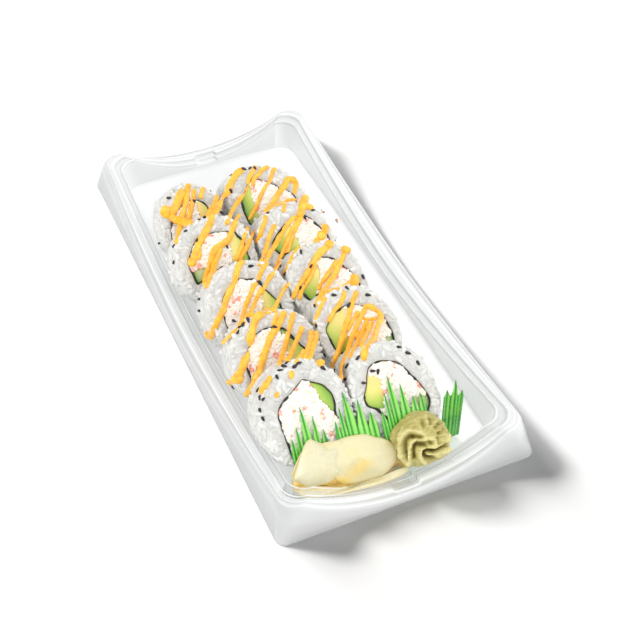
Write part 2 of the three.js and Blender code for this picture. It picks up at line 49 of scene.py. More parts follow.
# ---- Camera: the place is in mm ----
IMAGE_SIZE = 640
FOCAL_PIXELS = 1268.63
CAMERA_PLACE = np.array([-151.33, -379.57, 399.51])
CAMERA_PITCH = math.radians(45.133)
CAMERA_YAW = math.radians(23.521)
CAMERA_ROLL = math.radians(0.393)
SENSOR_WIDTH = 36

# ---- Tray, in mm ----
TRAY_LENGTH = 240
TRAY_WIDTH = 112
CORNER_RISE = 16.3  # height of the rim at a corner, then in the middle of an end and of a side
END_RISE = 3.8
SIDE_RISE = 3.9
SKIRT_FLARE = 0.22  # how far the skirt leans in for each mm of height
SHEET = 0.6
FLOOR = SHEET
FOOT_RADIUS = 4.5
RIM_RADIUS = 8
LOCK_LENGTH = 11
LOCK_DEPTH = 2.4
WALL_INSET = 11.6
WALL_LEAN = 0.08
SKIRT_WIDTH = 1.4
UPPER_BEND = 0.55  # how far from a corner of the section its rounding starts, on top and below
LOWER_BEND = 0.35
CLEAR_INSET = 3.5  # how far in from the foot the clear part of the front begins
CLEAR_END = 2  # how far right the food shows clearly through the front of the tray, and faintly
HAZY_END = 22

# Tones of the tray's sheet, which paint light and shade on it: 0.5 is plain, and more is lighter.
# Painted highlight on a bend that stands out and painted shade in a crease, for each radian that it turns.
EDGE_SHINE = 0.9  # for each radian of a bend
RIDGE_TONE = 0.75  # from here on an edge is a ridge
# Painted shade on the rim and the skirt and painted light on the wall, against the floor; then painted
# light on the wall and the floor on the right, and on the outer skirt at the front and on the right.
RIM_DARKER = 0.14
WALL_LIGHTER = 0.12
SKIRT_DARKER = 0.08
RIGHT_WALL_LIGHTER = 0.12
RIGHT_FLOOR_LIGHTER = 0.1
OUTER_SKIRT_LIGHTER = 0.34  # at the front and on the right

# ---- Rolls: as in the CAD, where each value is explained ----
SLOPE = math.sqrt(0.5)  # sine and cosine of the rolls' lean of 45 degrees
STANDING_LENGTH = 21
GAP = 0.3
RECESS = 0.75
LOWER_POWER = 2.3
EDGE = 1.3
WALL_ROOM = 1.6
LEAST_RICE = 1.8

# The last ones of each roll are pixels: the outline of the filling on the cut face, the lines that part the
# avocado and the cucumber from the crab, and where the nori shows thick. "green" says how the avocado turns
# green: the direction in degrees, and how green it is at its near and at its far side.
ROLLS = [
    dict(name="left_1", x=-30.7, y=39.9, turn=0, length=19.5, point=2, skew=0, half=(10, 12.3),
         rice=(4.6, 5, 5, 5), green=(0, 0.02, 0.4),
         filling=[(181, 207), (184, 203), (188, 200.5), (193, 200), (198, 200), (203, 202), (207, 205.5),
                  (209.5, 210), (210, 216), (208, 223), (203, 231), (196, 239), (187, 244), (178, 246),
                  (174, 243), (171.8, 237), (171.2, 230), (172, 222), (175, 215), (178, 211)],
         avocado=[(196, 200), (198, 209), (201, 217), (206, 224)],
         thick=[(172, 223), (172, 240), (183.5, 203.5), (194, 200), (204, 203)]),
    dict(name="left_2", x=-28.9, y=11.7, turn=3, length=19, point=2.3, skew=0, half=(13, 12.3),
         rice=(5.5, 4.8, 6.2, 5), green=(-20, 0.15, 0.8),
         filling=[(207, 236), (210, 233.5), (216, 232), (222, 232), (229, 231.5), (235, 231.5),
                  (238, 235.5), (242, 238.5), (245, 243), (247, 250), (249, 256), (251, 260), (246, 260.5),
                  (240, 261), (235, 262.5), (230, 266), (222, 267), (214, 272), (206, 279), (198, 285.5),
                  (195, 280), (193, 274.5), (190.5, 270), (188.5, 264), (189.5, 257.5), (191.5, 251),
                  (194, 244), (198, 238)],
         avocado=[(228, 231.5), (230, 242), (231.5, 252), (233.5, 263)],
         cucumber=[(192, 272), (198, 269), (206, 268), (211, 275)],
         thick=[(249.5, 258), (237.5, 235), (195.5, 278), (222, 265.5), (230, 265), (240, 237.5)]),
    dict(name="left_3", x=-26.5, y=-21.8, turn=0, length=22.5, point=1.9, skew=0, half=(13, 13),
         rice=(5.8, 4.8, 6.3, 5), green=(-12, 0.1, 0.85),
         filling=[(240, 278.5), (247, 279.5), (254, 278.5), (260, 284), (266, 290), (271, 294), (275, 298),
                  (279, 301), (282, 307), (280, 315), (274, 322), (264, 329), (252, 335), (240, 338),
                  (232, 337), (229.5, 331), (226.5, 325), (224.5, 318), (223, 311), (222.5, 304),
                  (223.5, 298), (227, 291), (232, 285), (236, 280.5)],
         avocado=[(261, 285), (262.5, 297), (263, 308), (262, 330)],
         thick=[(225, 319), (281, 306), (224, 295), (250, 279), (229, 333)]),
    dict(name="left_4", x=-26.9, y=-52.9, turn=-2, length=20.4, point=2.2, skew=0, half=(13.6, 12.5),
         rice=(6, 4, 6.5, 5), green=(-10, 0.35, 0.85),
         filling=[(262, 330), (267, 328), (272, 327.5), (278, 327.5), (284, 328), (289, 332), (294, 338),
                  (299, 343), (304, 347), (309, 351), (313, 356), (314, 361), (311, 366), (303, 373),
                  (292, 380), (280, 386), (268, 390), (259, 390), (253, 383), (249.5, 375), (247, 369),
                  (246.5, 361), (247.5, 352), (250, 343), (254, 336)],
         avocado=[(288, 331), (287.5, 345), (287.5, 358), (290, 381)],
         cucumber=[(279, 327.5), (281, 333), (286, 337), (294, 338)],
         thick=[(251.5, 378), (313, 358), (294, 338), (248, 371), (302, 346)]),
    dict(name="left_5", x=-29, y=-87.6, turn=-4, length=24, point=1.6, skew=0, half=(13, 15),
         rice=(6.6, 4.6, 6.8, 5), green=(10, 0.58, 0.9),
         filling=[(302, 379.5), (308, 380.5), (311, 382), (317, 383), (323, 385), (328, 389),
                  (331.5, 392.5), (333.5, 397), (335, 402), (336, 407), (335.5, 412), (337, 416),
                  (340, 419), (343.5, 422), (346, 427), (345, 434), (340, 441), (330, 450), (318, 458),
                  (305, 462), (295, 459), (291, 454), (289, 448), (286, 440), (284.5, 434), (282, 430),
                  (281, 424), (279, 420), (278.3, 415), (279, 409), (281, 405), (285, 399), (290, 395),
                  (293, 391), (297, 386)],
         avocado=[(310, 382), (314, 388), (317, 392), (319, 396.5), (321, 400), (326, 404), (331, 409),
                  (335.5, 414)],
         thick=[(335.5, 405), (336, 411), (334, 400), (288, 445), (290, 452), (280, 422), (286, 398)]),
    dict(name="right_1", x=6.3, y=38.8, turn=2, length=21, point=2.3, skew=0.25, half=(13, 11.5),
         rice=(5.2, 4.5, 6.5, 5), green=(185, 0.35, 0.95),
         filling=[(254, 178), (260, 179.5), (268, 182), (275, 184.5), (280, 188), (287, 190), (293, 194),
                  (296.5, 198), (297, 202), (290, 208), (278, 216), (262, 222), (250.5, 225), (247.5, 220),
                  (245.5, 215), (243, 209), (241.5, 203), (242.5, 197), (245, 191), (248, 184), (251, 180)],
         avocado=[(250, 181), (252, 193), (254.5, 203), (257, 211), (262, 222)],
         thick=[(244, 209), (246.5, 216), (250.5, 223), (250.5, 181), (279, 187.5), (242, 204)]),
    dict(name="right_2", x=8.3, y=8.6, turn=0, length=20.4, point=2.2, skew=0.1, half=(13, 11.5),
         rice=(4.8, 3, 6, 5), green=(220, 0.2, 0.85),
         filling=[(283, 226.5), (287, 222.5), (293, 218), (299, 215.5), (305, 215.5), (311, 218.5),
                  (315, 222), (319, 226), (324, 231), (328, 235.5), (330.5, 240), (328, 246), (318, 251),
                  (305, 254.5), (294, 256), (286, 256), (281, 255), (277, 251.5), (273.5, 248),
                  (272.5, 243), (275, 238), (278, 233), (281, 229)],
         avocado=[(290, 220), (294, 230), (298, 238), (300.5, 247), (301, 255)],
         thick=[(315, 222.5), (318, 225.5), (329, 238), (278.5, 252), (287, 255), (281, 230), (275, 240)]),
    dict(name="right_3", x=9.6, y=-22.9, turn=0, length=22, point=2.1, skew=0.15, half=(13.2, 12.5),
         rice=(4.8, 2.8, 6.2, 5), green=(220, 0.15, 0.8),
         filling=[(321, 257), (328, 257), (334, 258.5), (341, 264), (347, 268), (352, 273), (357, 279),
                  (361, 286), (363.5, 292), (361, 298), (352, 301), (340, 302), (328, 302), (316, 301.5),
                  (309, 300), (304, 296), (303, 290), (305, 282), (308, 274), (312, 266), (316, 260)],
         avocado=[(315, 261), (320, 270), (320, 282), (317, 293), (318, 301.5)],
         thick=[(304.5, 296), (308, 298.5), (345, 266.5), (361, 285), (332, 258), (306, 297)]),
    dict(name="right_4", x=9.4, y=-53.6, turn=0, length=21.2, point=2.2, skew=0.15, half=(14, 13),
         rice=(4.2, 2, 6.2, 5), green=(235, 0.12, 0.8),
         filling=[(341, 308), (347, 305), (353, 303.5), (360, 305.5), (368, 308), (376, 311), (383, 316),
                  (388, 323), (392, 330), (394, 337), (395.5, 345), (389, 345), (381, 346.5), (375, 348.5),
                  (366, 352.5), (356, 356), (347, 356), (341, 353), (335, 349), (331.5, 343), (328.5, 336),
                  (326, 330), (328.5, 323.5), (332, 317), (336, 312)],
         avocado=[(346, 305.5), (346, 318), (347.5, 332), (351, 344), (353, 356)],
         cucumber=[(393, 333.5), (388, 334.5), (385.5, 340), (384, 346)],
         thick=[(331, 336), (332.5, 341), (334.5, 347), (344, 354), (347, 354.5), (380, 346), (393.5, 338),
                (387.5, 324), (338, 310)]),
    dict(name="right_5", x=7.2, y=-90.3, turn=-3, length=24.5, point=2, skew=0.15, half=(13, 14.5),
         rice=(4.9, 3.8, 6.6, 4), green=(262, 0, 0.85),
         filling=[(368.5, 368), (372, 364.5), (377, 361.5), (384, 360.5), (391, 361), (398, 362.5),
                  (403, 366), (408, 371), (413, 376), (418, 381), (423, 387), (427, 393), (430, 397),
                  (430.5, 401), (430, 406), (428, 412), (422, 419), (412, 424), (400, 424.5), (390, 420.5),
                  (385, 417), (380, 413), (376, 409), (368, 407), (365.5, 403), (364, 397), (366, 390),
                  (367, 383), (367, 376)],
         avocado=[(367.5, 373.5), (373, 374), (379, 374.5), (382, 383), (384, 393), (385.5, 404),
                  (384.5, 409.5), (378, 411)],
         cucumber=[(428, 394), (418, 394.5), (413.5, 398), (413, 405), (415, 423)],
         thick=[(367, 405), (370, 407), (377, 409.5), (379, 412.5), (386, 418.5), (403, 366.5), (409, 372),
                (415, 378), (364.5, 397), (429, 400), (376, 362)]),
]

# ---- Condiments, in a frame of their own: as in the CAD too ----
FRONT_X = -11
FRONT_Y = -90.2
FRONT_TURN = math.radians(-4)
LEAN_HEIGHT = 29.8
FOOT_DISTANCE = 14.1
BEND = 1.5


# ---- Small helpers ----

def generator(seed):
    return np.random.default_rng(seed)


def unit(v):
    return v / np.maximum(np.linalg.norm(v, axis=-1, keepdims=True), 1e-9)


def smoothstep(v, low, high):
    t = np.clip((v - low) / (high - low), 0, 1)
    return t * t * (3 - 2 * t)


def ripple(points, size, seed, waves=7):
    """Smooth unevenness between about -1 and 1, with bumps about as long as size."""
    draw = generator(seed)
    points = np.asarray(points, float)
    total = np.zeros(points.shape[:-1])
    for _ in range(waves):
        direction = unit(draw.normal(size=points.shape[-1]))
        total += np.sin(points @ direction * TURN / (size * draw.uniform(1, 2.2)) + draw.uniform(0, TURN))
    return total / math.sqrt(waves) * 0.8


def dented(points, depth, size, seed):
    """Points moved a little in all ways, in bumps about as long as size."""
    return points + depth * np.stack([ripple(points, size, seed + k, 5) for k in range(3)], -1)


def filleted(line, size):
    """An open line of points with each corner rounded by four points over a short stretch."""
    out = [line[0]]
    for a, b, c in zip(line[:-2], line[1:-1], line[2:]):
        back, ahead = a - b, c - b
        start = b + unit(back) * min(size, 0.4 * np.linalg.norm(back))
        end = b + unit(ahead) * min(size, 0.4 * np.linalg.norm(ahead))
        for t in (0, 0.33, 0.67, 1):
            out.append((1 - t) ** 2 * start + 2 * t * (1 - t) * b + t * t * end)
    return np.array(out + [line[-1]])


def spline(points, step):
    """Points about one step apart on a smooth curve through the given ones."""
    points = np.asarray(points, float)
    padded = np.concatenate([[2 * points[0] - points[1]], points, [2 * points[-1] - points[-2]]])
    out = []
    for a, b, c, d in zip(padded[:-3], padded[1:-2], padded[2:-1], padded[3:]):
        count = max(1, int(np.linalg.norm((c - b)[:2]) / step))
        for t in np.arange(count) / count:
            bend = (2 * a - 5 * b + 4 * c - d) * t**2
            turn = (3 * b - a - 3 * c + d) * t**3
            out.append(0.5 * (2 * b + (c - a) * t + bend + turn))
    return np.array(out + [points[-1]])


def resampled(outline, count):
    """The same closed outline with evenly spaced points."""
    closed = np.concatenate([outline, outline[:1]])
    lengths = np.concatenate([[0], np.cumsum(np.linalg.norm(np.diff(closed, axis=0), axis=1))])
    at = np.linspace(0, lengths[-1], count, endpoint=False)
    return np.stack([np.interp(at, lengths, closed[:, k]) for k in range(outline.shape[1])], -1)


def distances_round(outline, middle, angles):
    """How far a closed outline is from a point inside it, at angles."""
    offset = outline - middle
    bearing = np.arctan2(offset[:, 1], offset[:, 0]) % TURN
    order = np.argsort(bearing)
    return np.interp(angles, bearing[order], np.linalg.norm(offset, axis=1)[order], period=TURN)


def inside(points, outline):
    """Which points lie in a closed outline."""
    a, b = outline, np.roll(outline, -1, axis=0)
    x, y = points[:, :1], points[:, 1:2]
    crosses = (a[:, 1] > y) != (b[:, 1] > y)
    with np.errstate(divide="ignore", invalid="ignore"):
        at = a[:, 0] + (y - a[:, 1]) / (b[:, 1] - a[:, 1]) * (b[:, 0] - a[:, 0])
    return (crosses & (x < at)).sum(1) % 2 == 1


class Shape:
    """Collects points and faces, and makes one mesh piece of them."""

    def __init__(self):
        self.points, self.tones, self.corners, self.sizes, self.slots = [], [], [], [], []
        self.count = 0

    def add(self, points, tones, face_sets, slot_sets):
        """Adds points and sets of faces. Each face has a slot, and a set's faces have as many corners."""
        self.points.append(points)
        self.tones.append(tones)
        for faces, slots in zip(face_sets, slot_sets):
            self.corners.append((faces + self.count).ravel())
            self.sizes.append(np.full(len(faces), faces.shape[1]))
            self.slots.append(slots)
        self.count += len(points)

    @staticmethod
    def signed_volume(points, sets):
        """Six times the volume that faces close in: below zero where they look inward."""
        total = 0
        middle = points.mean(0)
        for faces in sets:
            a = points[faces[:, 0]] - middle
            for k in range(1, faces.shape[1] - 1):
                b, c = points[faces[:, k]] - middle, points[faces[:, k + 1]] - middle
                total += np.einsum("ij,ij->i", a, np.cross(b, c)).sum()
        return total

    def loft(self, loops, goes_round=False, tone=0.5):
        """Skin over loops of equal length, closed by a fan at each end or by going round to the first."""
        loops = np.asarray(loops, float)
        rows, columns = loops.shape[:2]
        i, j = np.meshgrid(np.arange(rows if goes_round else rows - 1), np.arange(columns), indexing="ij")
        k, l = (i + 1) % rows, (j + 1) % columns
        quads = np.stack([i * columns + j, i * columns + l, k * columns + l, k * columns + j], -1)
        sets = [quads.reshape(-1, 4)]
        points = loops.reshape(-1, 3)
        tones = np.broadcast_to(tone, (rows, columns)).ravel()
        if not goes_round:
            around = np.arange(columns)
            following = (around + 1) % columns
            start = (rows - 1) * columns
            sets.append(np.concatenate([
                np.stack([following, around, np.full(columns, len(points))], -1),
                np.stack([start + around, start + following, np.full(columns, len(points) + 1)], -1),
            ]))
            points = np.concatenate([points, loops[:1].mean(1), loops[-1:].mean(1)])
            tones = np.concatenate([tones, [tones[:columns].mean(), tones[-columns:].mean()]])
        if self.signed_volume(points, sets) < 0:
            sets = [faces[:, ::-1] for faces in sets]
        self.add(points, tones, sets, [np.zeros(len(faces), int) for faces in sets])

    def copies(self, template, places, slot=0, tone=0.5, adjust=None):
        """A template repeated. Places are four arrays: centres, and the ways along, across and up, each as
        long as half of the copy is that way."""
        points, quads, tris = template
        centre, along, wide, up = (values[:, None] for values in places)
        x, y, z = (points[None, :, k:k + 1] for k in range(3))
        spread = centre + x * along + y * wide + z * up
        if adjust is not None:
            spread = adjust(spread.reshape(-1, 3)).reshape(spread.shape)
        count, size = spread.shape[:2]
        shift = (np.arange(count) * size)[:, None, None]
        sets = [(faces[None] + shift).reshape(-1, faces.shape[1]) for faces in (quads, tris)]
        if (np.cross(along, wide) * up).sum(-1).mean() < 0:
            sets = [faces[:, ::-1] for faces in sets]
        tones = np.repeat(np.broadcast_to(tone, count), size)
        slots = [np.repeat(np.broadcast_to(slot, count), len(faces)) for faces in (quads, tris)]
        self.add(spread.reshape(-1, 3), tones, sets, slots)

    def build(self, name, materials, slot, replaces=(), body="root"):
        """Makes the piece. It rides on a body of the CAD, and stands for the nodes that it replaces."""
        points = np.concatenate(self.points)
        corners, sizes, starts = self.polygons()
        mesh = bpy.data.meshes.new(name)
        mesh.vertices.add(len(points))
        mesh.vertices.foreach_set("co", (points * MM).ravel().astype(np.float32))
        mesh.loops.add(len(corners))
        mesh.loops.foreach_set("vertex_index", corners.astype(np.int32))
        mesh.polygons.add(len(sizes))
        mesh.polygons.foreach_set("loop_start", starts.astype(np.int32))
        mesh.polygons.foreach_set("material_index", np.concatenate(self.slots).astype(np.int32))
        mesh.polygons.foreach_set("use_smooth", np.ones(len(sizes), bool))
        mesh.update(calc_edges=True)
        mesh.attributes.new("tone", "FLOAT", "POINT").data.foreach_set(
            "value", np.concatenate(self.tones).astype(np.float32))
        for one in materials:
            mesh.materials.append(one)
        piece = bpy.data.objects.new(name, mesh)
        bpy.context.scene.collection.objects.link(piece)
        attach(piece, body)
        if replaces:
            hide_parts(*replaces)
        return piece

    def polygons(self):
        """The corners of all faces in one row, how many each face has, and where each face starts."""
        sizes = np.concatenate(self.sizes)
        return np.concatenate(self.corners), sizes, np.concatenate([[0], np.cumsum(sizes)[:-1]])

    def tree(self):
        """For casting rays, in millimetres."""
        corners, sizes, starts = self.polygons()
        polygons = [tuple(corners[a:a + n].tolist()) for a, n in zip(starts, sizes)]
        return BVHTree.FromPolygons(np.concatenate(self.points).tolist(), polygons)


def ball(around, rings, power=1.0):
    """A unit ball with its poles on X: points, quads and triangles."""
    points = [(-1, 0, 0)]
    for i in range(1, rings + 1):
        angle = math.pi * i / (rings + 1)
        x, r = -math.cos(angle), math.sin(angle) ** power
        turns = [TURN * k / around for k in range(around)]
        points += [(x, r * math.cos(turn), r * math.sin(turn)) for turn in turns]
    points.append((1, 0, 0))
    quads, tris = [], []
    for k in range(around):
        l = (k + 1) % around
        tris.append((0, 1 + l, 1 + k))
        last = 1 + (rings - 1) * around
        tris.append((last + k, last + l, len(points) - 1))
        for i in range(rings - 1):
            a = 1 + i * around
            quads.append((a + k, a + l, a + around + l, a + around + k))
    return np.array(points, float), np.array(quads), np.array(tris)


# ---- Materials ----

def linear(colour):
    """Linear colour from 0-255 screen values."""
    values = [c / 255 for c in colour]
    return tuple(v / 12.92 if v <= 0.04045 else ((v + 0.055) / 1.055) ** 2.4 for v in values) + (1,)


class Material:
    """A Principled material that is built node by node. Colours are 0-255 screen values."""

    def __init__(self, name, **sockets):
        self.material = bpy.data.materials.new(name)
        self.material.use_nodes = True
        self.tree = self.material.node_tree
        self.shader = self.tree.nodes["Principled BSDF"]
        for socket, value in sockets.items():
            self.shader.inputs[socket.replace("_", " ")].default_value = value
        self.place = self.node("ShaderNodeTexCoord").outputs["Object"]

    def node(self, kind, inputs=None, **settings):
        node = self.tree.nodes.new(kind)
        for key, value in settings.items():
            setattr(node, key, value)
        for key, value in (inputs or {}).items():
            if isinstance(value, bpy.types.NodeSocket):
                self.tree.links.new(value, node.inputs[key])
            else:
                node.inputs[key].default_value = value
        return node

    def link(self, output, socket):
        self.tree.links.new(output, self.shader.inputs[socket])
        return self

    def noise(self, size_mm, detail=3.0, roughness=0.55, distortion=0.0, stretch=None):
        place = self.place
        if stretch:
            place = self.node("ShaderNodeMapping", {"Vector": place, "Scale": stretch}).outputs[0]
        return self.node("ShaderNodeTexNoise", {
            "Vector": place, "Scale": 1 / (size_mm * MM), "Detail": detail, "Roughness": roughness,
            "Distortion": distortion}).outputs["Fac"]

    def tone(self):
        """The tone that a shape's points carry."""
        return self.node("ShaderNodeAttribute", attribute_name="tone").outputs["Fac"]

    def ramp(self, factor, stops):
        node = self.node("ShaderNodeValToRGB", {"Fac": factor})
        elements = node.color_ramp.elements
        while len(elements) < len(stops):
            elements.new(0.5)
        for element, (at, colour) in zip(elements, stops):
            element.position = at
            element.color = linear(colour)
        return node.outputs["Color"]

    def patches(self, size_mm, detail, start, end, most):
        """A factor for soft patches: 0 where the noise is at start, and most of 255 where it is at end."""
        return self.ramp(self.noise(size_mm, detail), [(start, (0, 0, 0)), (end, (most, most, most))])

    def mix(self, factor, a, b):
        """Colour a, and b where the factor is 1: each is a link or 0-255 screen values."""
        inputs = {0: factor, 6: a, 7: b}
        for index, value in inputs.items():
            if isinstance(value, tuple):
                inputs[index] = linear(value)
        return self.node("ShaderNodeMix", inputs, data_type="RGBA").outputs[2]

    def times(self, a, b):
        return self.node("ShaderNodeMath", {0: a, 1: b}, operation="MULTIPLY").outputs[0]

    def colour(self, output):
        return self.link(output, "Base Color")

    def bump(self, height, distance_mm, strength=1.0):
        inputs = {"Height": height, "Distance": distance_mm * MM, "Strength": strength}
        return self.link(self.node("ShaderNodeBump", inputs).outputs[0], "Normal")

    def rough(self, factor, low, high):
        node = self.node("ShaderNodeMapRange", {"Value": factor, "To Min": low, "To Max": high})
        return self.link(node.outputs[0], "Roughness")

    def soft(self, weight, radius, size_mm):
        self.shader.inputs["Subsurface Weight"].default_value = weight
        self.shader.inputs["Subsurface Radius"].default_value = radius
        self.shader.inputs["Subsurface Scale"].default_value = size_mm * MM
        return self


def make_materials():
    made = {}

    # The sheet's tone runs from grey to white and carries the painted light and shade; tray_ridge is more
    # opaque, so that the painted highlights on the ridges show as white lines.
    for key, alpha in (("tray", 0.74), ("tray_front", 0.14), ("tray_ridge", 0.85), ("tray_hazy", 0.42)):
        m = Material(f"{key}_plastic", Alpha=alpha, IOR=1.45)
        sheet = m.ramp(m.tone(), [(0.0, (198, 201, 202)), (0.45, (223, 225, 226)), (0.8, (252, 253, 253)),
                                  (1.0, (255, 255, 255))])
        m.colour(m.mix(m.patches(30, 2, 0.4, 0.8, 50), sheet, (216, 218, 219)))
        m.rough(m.noise(12, 2), 0.12, 0.22).bump(m.noise(14, 2), 0.1, 0.3)
        made[key] = m.material

    m = Material("tan_crumb")
    m.colour(m.ramp(m.noise(0.6, 2), [(0.3, (150, 96, 50)), (0.7, (206, 158, 108))]))
    m.rough(m.noise(1), 0.5, 0.7).bump(m.noise(0.4, 2), 0.1, 0.4)
    made["crumb"] = m.material

    m = Material("rice_grains")
    # The tone is random for each grain, and lower on the paste between the grains as painted shade.
    grain = m.mix(m.tone(), (201, 201, 197), (225, 225, 222))
    m.colour(m.mix(m.patches(6, 3, 0.45, 0.8, 110), grain, (204, 200, 188)))
    m.rough(m.noise(1.5), 0.35, 0.55).bump(m.noise(0.8, 2), 0.08, 0.4).soft(0.25, (1.0, 0.97, 0.92), 0.9)
    made["rice"] = m.material

    m = Material("nori_sheet")
    thin = m.ramp(m.noise(0.8, 4), [(0.3, (52, 44, 24)), (0.7, (104, 90, 56))])
    m.colour(m.mix(m.tone(), thin, (16, 17, 10)))
    m.rough(m.noise(1), 0.35, 0.7).bump(m.noise(0.5, 4), 0.2, 0.7)
    made["nori"] = m.material

    for name, low, high in (
        ("crab_cream", (244, 234, 220), (250, 244, 236)),
        ("crab_pink", (238, 120, 100), (252, 196, 180)),
        ("crab_pale", (238, 222, 190), (250, 238, 214)),
    ):
        m = Material(name)
        m.colour(m.ramp(m.noise(1.1, 3), [(0.3, low), (0.65, high)]))
        m.rough(m.noise(1), 0.4, 0.65).bump(m.noise(0.45, 3), 0.06, 0.4).soft(0.25, (1.0, 0.9, 0.8), 0.8)
        made[name] = m.material

    m = Material("avocado_flesh")
    flesh = m.ramp(m.tone(), [(0.0, (240, 208, 136)), (0.3, (228, 216, 130)), (0.55, (178, 198, 84)),
                              (0.8, (112, 168, 50)), (1.0, (60, 116, 28))])
    m.colour(m.mix(m.times(m.noise(2.2, 4), 0.3), flesh, (196, 196, 92)))
    m.rough(m.noise(2), 0.3, 0.5).bump(m.noise(0.9, 3), 0.12, 0.4).soft(0.25, (0.9, 1.0, 0.4), 1.0)
    made["avocado"] = m.material

    m = Material("cucumber_flesh")
    m.colour(m.ramp(m.tone(), [(0.0, (176, 190, 138)), (0.5, (138, 166, 96)), (0.78, (84, 124, 50)),
                               (1.0, (22, 44, 16))]))
    m.rough(m.noise(1.5), 0.2, 0.4).bump(m.noise(0.8, 3), 0.15, 0.5).soft(0.2, (0.7, 1.0, 0.5), 1.0)
    made["cucumber"] = m.material

    m = Material("orange_sauce", Coat_Weight=0.25, Coat_Roughness=0.15)
    m.colour(m.ramp(m.noise(2.4, 3), [(0.3, (249, 160, 32)), (0.55, (253, 184, 44)),
                                      (0.8, (254, 202, 72))]))
    m.rough(m.noise(1.5), 0.22, 0.4).bump(m.noise(1.2, 2), 0.1, 0.4).soft(0.25, (1.0, 0.5, 0.15), 1.0)
    made["sauce"] = m.material

    m = Material("black_sesame")
    m.colour(m.mix(m.tone(), (12, 11, 12), (52, 46, 44)))
    m.rough(m.noise(0.5), 0.3, 0.6).bump(m.noise(0.3, 2), 0.05, 0.6)
    made["seed"] = m.material

    m = Material("plastic_grass", Coat_Weight=0.3, Coat_Roughness=0.2)
    blade = m.ramp(m.tone(), [(0.0, (16, 126, 18)), (0.25, (36, 150, 30)), (0.55, (94, 186, 56)),
                              (1.0, (148, 214, 100))])
    m.colour(m.mix(m.patches(7, 2, 0.45, 0.75, 150), blade, (118, 190, 48)))
    m.rough(m.noise(3), 0.2, 0.35).bump(m.noise(0.9, 2), 0.05, 0.3)
    made["grass"] = m.material

    m = Material("pickled_ginger", Coat_Weight=0.35, Coat_Roughness=0.12)
    fibre = m.noise(2.2, 4, 0.6, 0.3, (0.35, 1, 1))
    slice_colour = m.ramp(m.tone(), [(0.0, (150, 112, 14)), (0.2, (214, 168, 44)), (0.42, (226, 194, 92)),
                                     (0.7, (212, 201, 152)), (1.0, (208, 204, 174))])
    m.colour(m.mix(m.times(fibre, 0.25), slice_colour, (212, 202, 156)))
    m.rough(m.noise(3), 0.2, 0.36).bump(fibre, 0.08, 0.4).soft(0.15, (1.0, 0.96, 0.75), 1.0)
    made["ginger"] = m.material

    m = Material("wasabi_paste")
    # The tone runs from dark to light and carries painted shade in the grooves and painted light on the
    # ridges.
    paste = m.ramp(m.tone(), [(0.0, (86, 74, 14)), (0.3, (140, 130, 60)), (0.6, (178, 169, 104)),
                              (1.0, (212, 204, 146))])
    tinted = m.mix(m.patches(5, 2, 0.5, 0.75, 120), paste, (186, 158, 92))
    m.colour(m.mix(m.times(m.noise(0.9, 4), 0.3), tinted, (172, 160, 88)))
    m.rough(m.noise(1), 0.5, 0.7).bump(m.noise(0.5, 3), 0.16, 0.7).soft(0.2, (0.9, 1.0, 0.4), 0.8)
    made["wasabi"] = m.material

    m = Material("studio_floor", Roughness=0.9)
    m.colour(m.ramp(m.noise(200, 1), [(0.4, (250, 250, 250)), (0.6, (252, 252, 252))]))
    made["floor"] = m.material
    return made


# ---- Camera, light and floor ----

def camera_axes():
    """Forward, right and down of the picture."""
    sin_yaw, cos_yaw = math.sin(CAMERA_YAW), math.cos(CAMERA_YAW)
    flat = math.cos(CAMERA_PITCH)
    forward = np.array([sin_yaw * flat, cos_yaw * flat, -math.sin(CAMERA_PITCH)])
    level = np.array([cos_yaw, -sin_yaw, 0])
    down = np.cross(forward, level)
    c, s = math.cos(CAMERA_ROLL), math.sin(CAMERA_ROLL)
    return forward, c * level + s * down, -s * level + c * down


FORWARD, RIGHTWARD, DOWNWARD = camera_axes()


def place_camera():
    data = bpy.data.cameras.new("camera")
    data.sensor_width = SENSOR_WIDTH
    data.lens = FOCAL_PIXELS * SENSOR_WIDTH / IMAGE_SIZE
    data.clip_start, data.clip_end = 0.01, 20
    camera = bpy.data.objects.new("camera", data)
    pose = np.eye(4)
    pose[:3] = np.column_stack([RIGHTWARD, -DOWNWARD, -FORWARD, CAMERA_PLACE * MM])
    camera.matrix_world = Matrix(pose.tolist())
    bpy.context.scene.collection.objects.link(camera)
    bpy.context.scene.camera = camera


def to_pixels(points):
    offset = np.asarray(points) - CAMERA_PLACE
    depth = offset @ FORWARD
    spread = np.stack([offset @ RIGHTWARD / depth, offset @ DOWNWARD / depth], -1)
    return spread * FOCAL_PIXELS + IMAGE_SIZE / 2


def pixel_ray(pixel):
    across, down = (np.asarray(pixel[:2], float) - IMAGE_SIZE / 2) / FOCAL_PIXELS
    return unit(FORWARD + across * RIGHTWARD + down * DOWNWARD)


def on_plane(pixels, origin, across, along, out):
    """Where the picture's rays through pixels meet a plane, measured across and along it."""
    rays = np.array([pixel_ray(p) for p in pixels])
    reach = ((origin - CAMERA_PLACE) @ out) / (rays @ out)
    offset = CAMERA_PLACE + rays * reach[:, None] - origin
    return np.stack([offset @ across, offset @ along], -1)


